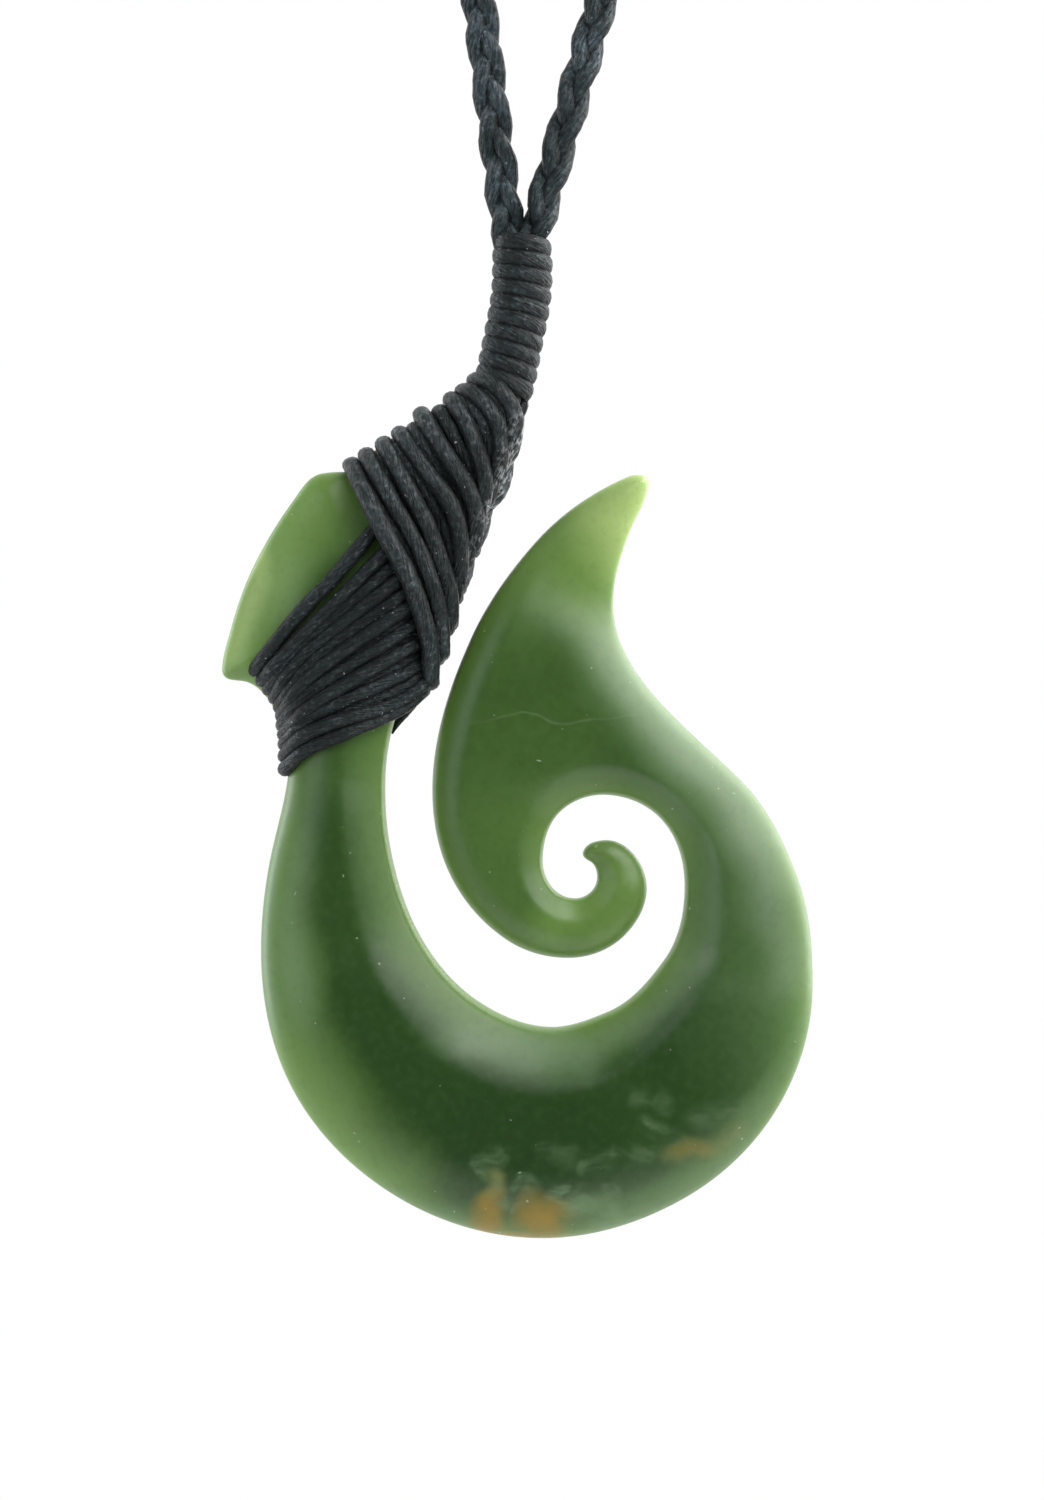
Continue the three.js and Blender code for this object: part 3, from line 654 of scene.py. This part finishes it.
def waxed_cord(name, plain, waxed):
    material, shader, start = new_material(name, CORD_CONSTANTS)
    around = start.node("ShaderNodeUVMap", uv_map="cord")
    share = start.node("ShaderNodeSeparateXYZ", {"Vector": around})
    length = share.other_output(1)
    angle = share * (2 * math.pi) - length * (2 * math.pi / (PLY_TWIST / MM))
    cosine = start.node("ShaderNodeMath", {0: angle}, operation="COSINE")
    sine = start.node("ShaderNodeMath", {0: angle}, operation="SINE")

    def along_plies(stretch, scale, detail):
        values = {"X": cosine, "Y": sine, "Z": length * stretch}
        return start.node("ShaderNodeCombineXYZ", values).noise(scale, detail)

    fibre = along_plies(*FIBRE)
    strands = along_plies(*SEAM)
    seam = strands.sum("ABSOLUTE", strands - 0.5, 0.0).smooth(0.0, 0.055)
    place = start.node("ShaderNodeTexCoord", output=3)
    wax = place.noise(*WAX)
    mottle = place.noise(*MOTTLE)
    # Painted shade: darker towards the cord's sides, where turns lie against each other, and at the
    # seams between its plies
    around_cord = start.node("ShaderNodeMath", {0: share * (2 * math.pi)}, operation="COSINE")
    groove_shade = around_cord.sum("ABSOLUTE", around_cord, 0.0).smooth(0.52, 0.90)
    lightness = fibre.smooth(0.34, 0.68, 0.30, 1.0) * seam.smooth(0.0, 1.0, 0.70, 1.0)
    lightness = lightness * (1 - groove_shade * 0.94)
    colour = blend(DARK_FIBRE_AND_SHADE_COLOUR, plain, lightness)
    colour = blend(colour, waxed, mottle.smooth(0.50, 0.70) * lightness * 0.65)
    colour = blend(colour, WORN_COLOUR, place.noise(*WORN).smooth(0.42, 0.60) * 0.62)
    flat = place.vector("MULTIPLY", place, (1, 0, 1))
    # Lighter torn strands with painted glints along the upper lashing's right edge
    frayed_and_glints = stroke_mask(flat, *FRAYED_AND_GLINT_EDGE) * wax.smooth(0.46, 0.58) * fibre.smooth(0.40, 0.60)
    colour = blend(colour, FRAYED_AND_GLINT_COLOUR, frayed_and_glints)
    colour = blend(colour, SPECK_COLOUR, place.noise(*SPECK).smooth(0.76, 0.80) * 0.8)
    plug(colour, shader, "Base Color")
    roughness = 0.52 - wax.smooth(0.45, 0.75) * 0.22
    plug(roughness, shader, "Roughness")
    relief = fibre * 0.35 + seam * 0.22 + wax * 0.30 + mottle * 0.28
    bump = start.node("ShaderNodeBump", {"Height": relief, "Strength": 1.0, "Distance": 0.00030})
    plug(bump, shader, "Normal")
    return material


# The stone


def edge_samples():
    """Close points along the stone's edge, each with its side's name and its band's width."""
    rows = [(*row, "outer") for row in OUTER_EDGE]
    rows += [(*row, "leaf") for row in LEAF_EDGE]
    rows += [(*row, "inner") for row in INNER_EDGE]
    samples = []
    for index, (u, v, heading, band, side) in enumerate(rows):
        next_u, next_v, next_heading, next_band, _ = rows[(index + 1) % len(rows)]
        start, end = on_hook(u, v), on_hook(next_u, next_v)
        turn = (next_heading - heading + 180) % 360 - 180
        chord = (end - start).length
        handle = chord / (3 * math.cos(math.radians(turn) / 4) ** 2)
        first = start + turned(heading) * handle
        second = end - turned(next_heading) * handle
        count = max(math.ceil(chord / EDGE_STEP), math.ceil(abs(turn) / EDGE_TURN_STEP))
        for step in range(count):
            share = step / count
            place = bezier(start, first, second, end, share)
            ahead = bezier(start, first, second, end, share + EDGE_AHEAD)
            along = (ahead - place).normalized()
            width = (band + (next_band - band) * share) * HOOK_WIDTH
            samples.append((place, Vector((-along.y, along.x)), width, side))
    return samples


class StoneForm:
    """The stone's edge and its thickness at any place on its front view."""

    def __init__(self):
        self.samples = edge_samples()
        self.points = np.array([tuple(sample[0]) for sample in self.samples])
        self.inward = np.array([tuple(sample[1]) for sample in self.samples])
        self.bands = np.array([sample[2] for sample in self.samples])
        self.sides = np.array([sample[3] for sample in self.samples])

    def distance(self, places, side=None):
        """The distance of each place to the edge, and the band's width there."""
        starts = np.arange(len(self.points))
        if side:
            starts = starts[self.sides == side]
        ends = (starts + 1) % len(self.points)
        head = self.points[starts]
        step = self.points[ends] - head
        length = np.maximum((step**2).sum(axis=1), LEAST_SQUARE)
        gaps = np.empty(len(places))
        widths = np.empty(len(places))
        for first in range(0, len(places), POINTS_AT_ONCE):
            last = first + POINTS_AT_ONCE
            part = places[first:last]
            offset = part[:, None, :] - head[None, :, :]
            share = np.clip((offset * step).sum(axis=2) / length, 0, 1)
            gap = ((offset - share[..., None] * step) ** 2).sum(axis=2)
            best = gap.argmin(axis=1)
            rows = np.arange(len(part))
            near = share[rows, best]
            gaps[first:last] = np.sqrt(gap[rows, best])
            low, high = self.bands[starts[best]], self.bands[ends[best]]
            widths[first:last] = low if side else low + (high - low) * near
        return gaps, widths

    def inside(self, places):
        """True for each place within the edge, by counting crossings."""
        head = self.points
        tail = np.roll(self.points, -1, axis=0)
        result = np.zeros(len(places), bool)
        for (x1, y1), (x2, y2) in zip(head, tail):
            crosses = (y1 > places[:, 1]) != (y2 > places[:, 1])
            if y1 != y2:
                spot = x1 + (places[:, 1] - y1) * (x2 - x1) / (y2 - y1)
                result ^= crosses & (places[:, 0] < spot)
        return result

    def thickness(self, places):
        total = np.zeros(len(places))
        weights = np.zeros(len(places))
        for u, v, share in THICKNESS_SPOTS:
            gap = np.linalg.norm(places - np.array(tuple(on_hook(u, v))), axis=1) / MM
            weight = 1 / (TINY + gap**SPOT_FALLOFF)
            total += weight * share
            weights += weight
        return HOOK_DEPTH * total / weights

    def faded_crease(self, places):
        """How much softer the inner bevel's crease is on the slot's right side."""
        middle = np.array(tuple(on_hook(SOFT_CREASE["u"], SOFT_CREASE["v"])))
        gap = np.linalg.norm(places - middle, axis=1) / SOFT_CREASE["reach"]
        return SOFT_CREASE["softness"] * np.exp(-(gap**2))

    def half_depth(self, places):
        height = np.ones(len(places))
        for side in ("outer", "leaf", "inner"):
            gap, band = self.distance(places, side)
            share = gap / band
            if side == "inner":
                lip = round_edge(share / BEVEL_LIP_SHARE)
                wider = band / HOOK_WIDTH - CREASE_SHARP_BAND
                softness = np.clip(wider * CREASE_SOFTENING, *CREASE_SOFTNESS)
                rise = 1 - soft_positive(1 - share, softness + self.faded_crease(places))
                rise *= 1 + BEVEL_SWELL * (1 - rise)
                profile = lip * (BEVEL_RIM_SHARE + (1 - BEVEL_RIM_SHARE) * rise)
            else:
                profile = round_edge(share)
            height = soft_lowest(height, profile)
        return height * self.thickness(places) / 2


def round_edge(share):
    return np.sqrt(1 - (1 - np.clip(share, 0, 1)) ** 2)


def soft_positive(value, softness):
    """Zero below zero and the value itself above it, rounded between them."""
    return (value + np.sqrt(value**2 + softness**2)) / 2


def soft_lowest(first, second):
    """The lower of two heights, with a small rounding where they meet."""
    apart = np.sqrt((first - second) ** 2 + EDGE_MEETING_SOFTNESS**2)
    return (first + second - apart) / 2


def make_stone(form):
    rim = form.points
    places = [rim]
    for ring in RIM_RINGS:
        ring_places = rim + form.inward * ring
        gap, _ = form.distance(ring_places)
        places.append(ring_places[gap > ring * RING_CLEARANCE])
    low, high = rim.min(axis=0), rim.max(axis=0)
    row_step = MIDDLE_STEP * math.sqrt(3) / 2
    grid = [
        (low[0] + (column + 0.5 * (row % 2)) * MIDDLE_STEP, low[1] + row * row_step)
        for row in range(int((high[1] - low[1]) / row_step) + 1)
        for column in range(int((high[0] - low[0]) / MIDDLE_STEP) + 1)
    ]
    grid = np.array(grid)
    grid = grid[form.inside(grid)]
    gap, _ = form.distance(grid)
    places.append(grid[gap > RIM_RINGS[-1] + 0.5 * MIDDLE_STEP])
    places = np.vstack(places)
    scale = 1 / MM
    millimetres = [Vector(place) * scale for place in places]
    loop = list(range(len(rim)))
    within_loop = 1
    found = delaunay_2d_cdt(millimetres, [], [loop], within_loop, MERGE_DISTANCE)
    flat = np.array([tuple(point) for point in found[0]]) / scale
    faces = found[2]
    heights = form.half_depth(flat)
    gap, _ = form.distance(flat)
    on_rim = gap < TINY
    heights[on_rim] = 0
    vertices = [(x, -h, z) for (x, z), h in zip(flat, heights)]
    back_index = {}
    for index in range(len(flat)):
        if on_rim[index]:
            back_index[index] = index
        else:
            back_index[index] = len(vertices)
            vertices.append((flat[index][0], heights[index], flat[index][1]))
    triangles = [tuple(face) for face in faces]
    triangles += [tuple(back_index[i] for i in reversed(face)) for face in faces]
    mesh = bpy.data.meshes.new("hook_stone")
    mesh.from_pydata(vertices, [], triangles)
    mesh.validate()
    depth = mesh.attributes.new("depth", "FLOAT", "POINT")
    values = [2 * abs(vertex.co.y) / HOOK_DEPTH for vertex in mesh.vertices]
    depth.data.foreach_set("value", values)
    mesh.shade_smooth()
    stone = bpy.data.objects.new("hook_stone", mesh)
    bpy.context.collection.objects.link(stone)
    return stone


# Cords


def sweep(
    bm, uv_layer, middles, sizes, aside, sides, ply_relief=0.0, lump_relief=0.0, start_length=0.0
):
    """Sweeps an oval cord along a row of points. sizes is (width, depth) at each point, aside the
    direction of its width, ply_relief the height of its two twisted plies and lump_relief that of
    its unevenness."""
    count = len(middles)
    rings = []
    lengths = [start_length + length for length in running_lengths(middles)]
    for index in range(count):
        before = middles[max(index - 1, 0)]
        after = middles[min(index + 1, count - 1)]
        along = (after - before).normalized()
        across = aside[index] - along * aside[index].dot(along)
        across.normalize()
        up = along.cross(across)
        width, depth = sizes[index]
        twist = 2 * math.pi * lengths[index] / PLY_TWIST
        ring = []
        for side in range(sides):
            angle = 2 * math.pi * side / sides
            swell = 1 + ply_relief * (abs(math.cos(angle - twist)) - PLY_MIDDLE)
            lump = math.sin(LUMPS_AROUND * angle + lengths[index] * LUMP_STEPS[0])
            lump *= math.sin(lengths[index] * LUMP_STEPS[1] + angle)
            swell += lump_relief * lump
            point = middles[index] + across * (math.cos(angle) * width / 2 * swell)
            ring.append(bm.verts.new(point + up * (math.sin(angle) * depth / 2 * swell)))
        rings.append(ring)
    for index in range(count - 1):
        for side in range(sides):
            nxt = (side + 1) % sides
            here, ahead = rings[index], rings[index + 1]
            face = bm.faces.new((here[side], here[nxt], ahead[nxt], ahead[side]))
            face.smooth = True
            spots = ((side, index), (side + 1, index), (side + 1, index + 1), (side, index + 1))
            for loop, (around, row) in zip(face.loops, spots):
                loop[uv_layer].uv = (around / sides, lengths[row] / MM)
    bm.faces.new(list(reversed(rings[0])))
    bm.faces.new(rings[-1])


def cord_piece(name, node, finish, cords):
    """A piece made of swept cords. Each is a row of the values that sweep has after the layer."""
    mesh = bpy.data.meshes.new(name)
    bm = bmesh.new()
    uv_layer = bm.loops.layers.uv.new("cord")
    for cord in cords:
        sweep(bm, uv_layer, *cord)
    bmesh.ops.recalc_face_normals(bm, faces=bm.faces)
    bm.to_mesh(mesh)
    bm.free()
    piece = bpy.data.objects.new(name, mesh)
    bpy.context.collection.objects.link(piece)
    mesh.materials.append(finish)
    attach(piece, BODY)
    if node:
        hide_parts(node)


def running_lengths(points):
    """The length along a row of points at each of them."""
    lengths = [0.0]
    for before, after in zip(points, points[1:]):
        lengths.append(lengths[-1] + (after - before).length)
    return lengths


def resample(points, step):
    """Points at an even step along a row of points."""
    return even_row(points, max(2, round(running_lengths(points)[-1] / step)))


def even_row(points, count, tags=None):
    """A chosen number of even steps along a row of points, with the tags that belong to them."""
    lengths = running_lengths(points)
    result, marks = [], []
    index = 0
    for number in range(count + 1):
        target = lengths[-1] * number / count
        while index < len(points) - 2 and lengths[index + 1] < target:
            index += 1
        span = max(lengths[index + 1] - lengths[index], LEAST_SPAN)
        share = (target - lengths[index]) / span
        result.append(points[index].lerp(points[index + 1], share))
        if tags:
            marks.append(tags[index].lerp(tags[index + 1], share))
    return (result, marks) if tags else result


def smooth_row(points, rounds):
    row = [point.copy() for point in points]
    for _ in range(rounds):
        middle = [(a + b * 2 + c) / 4 for a, b, c in zip(row, row[1:], row[2:])]
        row = [row[0], *middle, row[-1]]
    return row


def taut_depths(form, places, lift, end_radius, core_depth):
    """How far a taut cord stands off the middle plane along a row of places: it passes over the
    stone and the core, and round both ends."""
    lengths = running_lengths(places)
    whole = lengths[-1]
    flat = np.array([tuple(place) for place in places])
    stone_depths = np.where(form.inside(flat), form.half_depth(flat) + lift, 0)
    points = []
    for at, stone_depth in zip(lengths, stone_depths):
        near_end = min(at, whole - at)
        radius = min(end_radius, whole / 2)
        cap = math.sqrt(max(radius**2 - max(radius - near_end, 0) ** 2, 0))
        core = core_depth * math.sqrt(max(1 - (2 * at / whole - 1) ** 2, 0))
        depth = max(cap, core)
        if near_end > radius:
            depth = max(depth, stone_depth)
        points.append((at, depth))
    hull = upper_hull(points)
    spots, heights = zip(*hull)
    return np.interp(lengths, spots, heights)


def upper_hull(points):
    hull = []
    for point in points:
        while len(hull) > 1 and turn_of(hull[-2], hull[-1], point) >= 0:
            hull.pop()
        hull.append(point)
    return hull


def turn_of(a, b, c):
    return (b[0] - a[0]) * (c[1] - a[1]) - (b[1] - a[1]) * (c[0] - a[0])


def eased_row(places):
    """The row's points at steps that are finer towards both ends, where a cord turns round."""
    count = TURN_SAMPLES
    row = even_row(places, EASE_SAMPLES)
    result = []
    for number in range(count + 1):
        share = (1 - math.cos(math.pi * number / count)) / 2
        spot = share * (len(row) - 1)
        index = min(int(spot), len(row) - 2)
        result.append(row[index].lerp(row[index + 1], spot - index))
    return result


def wind(form, fronts, lifts, end_radii, core_depths):
    """The middle line of a cord wound round the stone, and the direction of its width. Its front
    passes are given, and each pass behind leads over to the next one."""
    path, aside = [], []
    for index, front in enumerate(fronts):
        extra = (lifts[index], end_radii[index], core_depths[index])
        places = eased_row(front)
        depths = taut_depths(form, places, *extra)
        path += [upright(place, -depth) for place, depth in zip(places, depths)]
        aside += [across_of(places[-1] - places[0])] * len(places)
        if index < len(fronts) - 1:
            behind = eased_row([front[-1], fronts[index + 1][0]])[1:-1]
            depths = taut_depths(form, behind, *extra)
            path += [upright(place, depth) for place, depth in zip(behind, depths)]
            aside += [across_of(behind[0] - behind[-1])] * len(behind)
    return path, aside


def across_of(direction):
    return upright(Vector((-direction.y, direction.x)).normalized())


def lashing_cord(name, node, form, fronts, size, lifts, end_radii, core_depths, finish):
    path, aside = wind(form, fronts, lifts, end_radii, core_depths)
    path, aside = even_row(path, round(running_lengths(path)[-1] / CORD_STEP), aside)
    path = smooth_row(path, SMOOTHING_ROUNDS)
    sizes = []
    for index in range(len(path)):
        wave = math.sin(index * SWELL_STEPS[0]) * math.sin(index * SWELL_STEPS[1] + 1)
        swell = 1 + SWELL * wave
        sizes.append((size[0] * swell, size[1] * swell))
    cord_piece(name, node, finish, [(path, sizes, aside, *LAID_PROFILE)])


def between(fronts, inset):
    """Front passes half way between the given ones, a little shorter at both ends."""
    result = []
    for first, second in zip(fronts, fronts[1:]):
        pairs = zip(even_row(first, BETWEEN_SAMPLES), even_row(second, BETWEEN_SAMPLES))
        middle = [(a + b) / 2 for a, b in pairs]
        result.append(middle[inset:-inset])
    return result


def whipping_axis():
    foot = on_hook(*WHIPPING_FOOT)
    half = WHIPPING_TURNS * WHIPPING_PITCH / 2
    bend = foot + turned(90 - WHIPPING_LEAN) * half
    top = bend + turned(90) * half
    return foot, bend, top


def make_whipping(finish):
    foot, bend, top = whipping_axis()
    tuck = WHIPPING_TUCK_SAMPLES
    path, sizes, aside = [], [], []
    total = WHIPPING_TURNS * WHIPPING_SAMPLES
    for step in range(-tuck, total + tuck + 1):
        turn = step / WHIPPING_SAMPLES
        share = (turn - WHIPPING_INSET) / (WHIPPING_TURNS - 2 * WHIPPING_INSET)
        rest = 1 - share
        centre = foot * rest**2 + bend * (2 * rest * share) + top * share**2
        along = ((bend - foot) * rest + (top - bend) * share).normalized()
        across = Vector((along.y, -along.x))
        hidden = max(-step, step - total, 0) / tuck
        angle = 2 * math.pi * turn + math.pi / 2
        unevenness = WHIPPING_UNEVENNESS * math.sin(turn * WHIPPING_UNEVEN_STEP)
        outside = 1 - WHIPPING_TUCK_SHARE * hidden
        near_top = max(0.0, share - WHIPPING_TAPER_START) / (1 - WHIPPING_TAPER_START)
        wide = (WHIPPING_WIDTH - WHIPPING_CORD_DEPTH) / 2 + unevenness
        wide -= WHIPPING_TOP_TAPER * near_top
        deep = (WHIPPING_DEPTH - WHIPPING_CORD_DEPTH) / 2 * math.sin(angle) * outside
        path.append(upright(centre - across * (wide * math.cos(angle) * outside), deep))
        sizes.append((WHIPPING_CORD_WIDTH, WHIPPING_CORD_DEPTH))
        aside.append(upright(along))
    cord_piece("whipping_turns", "neck_whipping", finish, [(path, sizes, aside, *LAID_PROFILE)])


def make_core(finish):
    """The bundle of cords inside the whipping and the upper lashing, seen only in small gaps."""
    foot, bend, top = whipping_axis()
    control = [on_photo(*place) for place in CORE_PIXELS]
    control += [(foot * 3 + bend) / 4, bend, top + Vector((0, CORE_TOP_REACH))]
    path = [upright(place) for place in spline_points(control, CORE_STEP)]
    widths = even_values(*CORE_WIDTHS, len(path))
    depths = even_values(*CORE_DEPTHS, len(path))
    sizes = []
    for index, (width, depth) in enumerate(zip(widths, depths)):
        share = index / (len(path) - 1)
        taper = max(CORE_LEAST_END, round_edge(min(share, 1 - share) / CORE_END_SHARE))
        sizes.append((width * taper, depth * taper))
    aside = [Vector((1, 0, 0))] * len(path)
    cord_piece("cord_bundle", None, finish, [(path, sizes, aside, CORE_SIDES)])


def spline_points(control, step):
    """A smooth row through chosen points."""
    row = []
    count = len(control)
    for index in range(count - 1):
        p0 = control[max(index - 1, 0)]
        p1, p2 = control[index], control[index + 1]
        p3 = control[min(index + 2, count - 1)]
        pieces = max(2, math.ceil((p2 - p1).length / step))
        for number in range(pieces):
            t = number / pieces
            row.append(
                (p1 * 2 + (p2 - p0) * t + (p0 * 2 - p1 * 5 + p2 * 4 - p3) * t**2
                 + (p1 * 3 - p0 - p2 * 3 + p3) * t**3) / 2
            )
    row.append(control[-1])
    return row


def neck_route():
    """The neck cord's middle line: up the left arm, round the nape and down the right arm."""
    centre = WHIPPING_TOP + Vector((LOOP_SHIFT, 0, LOOP_RISE))

    def on_arc(degrees):
        return centre + upright(turned(degrees)) * LOOP_RADIUS

    def arm(side, lean):
        start = WHIPPING_TOP + Vector((side * ARM_STARTS[side], 0, -ARM_TUCK))
        end = on_arc(90 - side * (90 + LOOP_DIP))
        handle = ARM_HANDLE_SHARE * (end - start).length
        up = Vector((side * math.sin(math.radians(lean)), 0, math.cos(math.radians(lean))))
        dip = math.radians(LOOP_DIP)
        down = Vector((-side * math.sin(dip), 0, -math.cos(dip)))
        first, second = start + up * handle, end + down * handle
        steps = [step / ARM_SAMPLES for step in range(ARM_SAMPLES)]
        return [bezier(start, first, second, end, share) for share in steps]

    left = arm(-1, LEFT_ARM_LEAN)
    right = arm(1, RIGHT_ARM_LEAN)
    start_angle, end_angle = 180 + LOOP_DIP, -LOOP_DIP
    arc = [on_arc(angle) for angle in even_values(start_angle, end_angle, LOOP_SAMPLES + 1)]
    return left + arc + right[::-1]


def plait(middle, phase, size_at):
    """Three cords that pass over and under each other along a middle line."""
    cords = []
    count = len(middle)
    lengths = running_lengths(middle)
    for strand in range(STRANDS):
        path, sizes, aside = [], [], []
        for index, centre in enumerate(middle):
            before = middle[max(index - 1, 0)]
            after = middle[min(index + 1, count - 1)]
            along = (after - before).normalized()
            outward = Vector((0, 1, 0))
            outward = (outward - along * outward.dot(along)).normalized()
            across = along.cross(outward)
            sway = sum(reach * math.sin(lengths[index] / step) for reach, step in PLAIT_SWAYS)
            angle = 2 * math.pi * (lengths[index] / PLAIT_PERIOD + strand / STRANDS) + phase + sway
            swing, depth, width, thick = size_at(lengths[index] / lengths[-1])
            width *= STRAND_NARROW + STRAND_SWELL * abs(math.sin(angle))
            sideways = across * (swing * math.sin(angle))
            path.append(centre + sideways + outward * (depth * math.sin(2 * angle)))
            sizes.append((width, thick))
            aside.append(across)
        cords.append((path, sizes, aside, *PLAITED_PROFILE, strand * STRAND_OFFSET))
    return cords


def make_neck_plait(finish):
    middle = resample(neck_route(), PLAIT_STEP)

    def size_at(share):
        free = min(1.0, min(share, 1 - share) / PLAIT_TUCK_SHARE)
        tucked = 1 - PLAIT_TUCK * (1 - free)
        return PLAIT_SWING * tucked, PLAIT_DEPTH, PLAIT_STRAND_WIDTH, PLAIT_STRAND_DEPTH

    cord_piece("neck_plait", "neck_cord", finish, plait(middle, PLAIT_PHASE, size_at))


def make_tail_plait(finish):
    control = [upright(on_hook(u, v), back * TAIL_DIAMETER) for u, v, back in TAIL_ROUTE]
    middle = resample(spline_points(control, SPLINE_STEP), TAIL_STEP)
    sizes = (TAIL_SWING, TAIL_DEPTH, TAIL_STRAND_WIDTH, TAIL_STRAND_DEPTH)

    def size_at(share):
        near_end = max(0.0, (share - TAIL_END_START) / (1 - TAIL_END_START))
        return [size * (1 - TAIL_END_FADE * near_end) for size in sizes]

    cord_piece("tail_plait_strands", "tail_plait", finish, plait(middle, TAIL_PHASE, size_at))


def strand_rows(strands):
    controls = [[on_photo(*place) for place in strand] for strand in strands]
    return [spline_points(control, SPLINE_STEP) for control in controls]


def even_values(first, last, count):
    return [first + (last - first) * index / (count - 1) for index in range(count)]


def make_lashings(form, waxed, upper_lit):
    lower = strand_rows(LOWER_STRANDS)
    upper = strand_rows(UPPER_STRANDS)
    size = (LOWER_CORD * LOWER_FLATTENING, LOWER_CORD)
    count = len(lower)
    lifts = [LOWER_LIFTS[index % 2] for index in range(count)]
    radii = [LOWER_END_RADIUS] * count
    cores = [0.0] * count
    lashing_cord(
        "lower_lashing_turns", "lower_lashing", form, lower, size, lifts, radii, cores, waxed
    )
    under = between(lower[1:], 1)
    count = len(under)
    lifts = [LOWER_UNDER_LIFT] * count
    radii = [LOWER_UNDER_RADIUS] * count
    cores = [0.0] * count
    lashing_cord("lower_lashing_under_turns", None, form, under, size, lifts, radii, cores, waxed)
    size = (UPPER_CORD * UPPER_FLATTENING, UPPER_CORD)
    lifts = [UPPER_LIFT] * len(upper)
    radii = even_values(*UPPER_END_RADII, len(upper))
    cores = even_values(*UPPER_CORE_DEPTHS, len(upper))
    # The upper turns take the lighter finish: painted light
    lashing_cord(
        "upper_lashing_turns", "upper_lashing", form, upper, size, lifts, radii, cores, upper_lit
    )
    under = between(upper, 2)
    lifts = [value - UNDER_STEP for value in lifts[1:]]
    radii = [value - UNDER_RADIUS_STEP for value in radii[1:]]
    cores = [value - UNDER_STEP for value in cores[1:]]
    lashing_cord("upper_lashing_under_turns", None, form, under, size, lifts, radii, cores, waxed)


aim_camera()
light_the_studio()
lay_floor()
green = greenstone()
waxed_finish = waxed_cord("waxed cord", *WAXED_COLOURS)
# Painted light: the upper lashing's finish is the waxed cord made lighter, as lit from the upper right
upper_lit_finish = waxed_cord("upper lit cord", *UPPER_LIT_COLOURS)
plaited_finish = waxed_cord("plaited cord", *PLAITED_COLOURS)
stone_form = StoneForm()
stone = make_stone(stone_form)
stone.data.materials.append(green)
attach(stone, BODY)
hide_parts("hook")
make_lashings(stone_form, waxed_finish, upper_lit_finish)
make_whipping(waxed_finish)
make_core(waxed_finish)
make_neck_plait(plaited_finish)
make_tail_plait(plaited_finish)
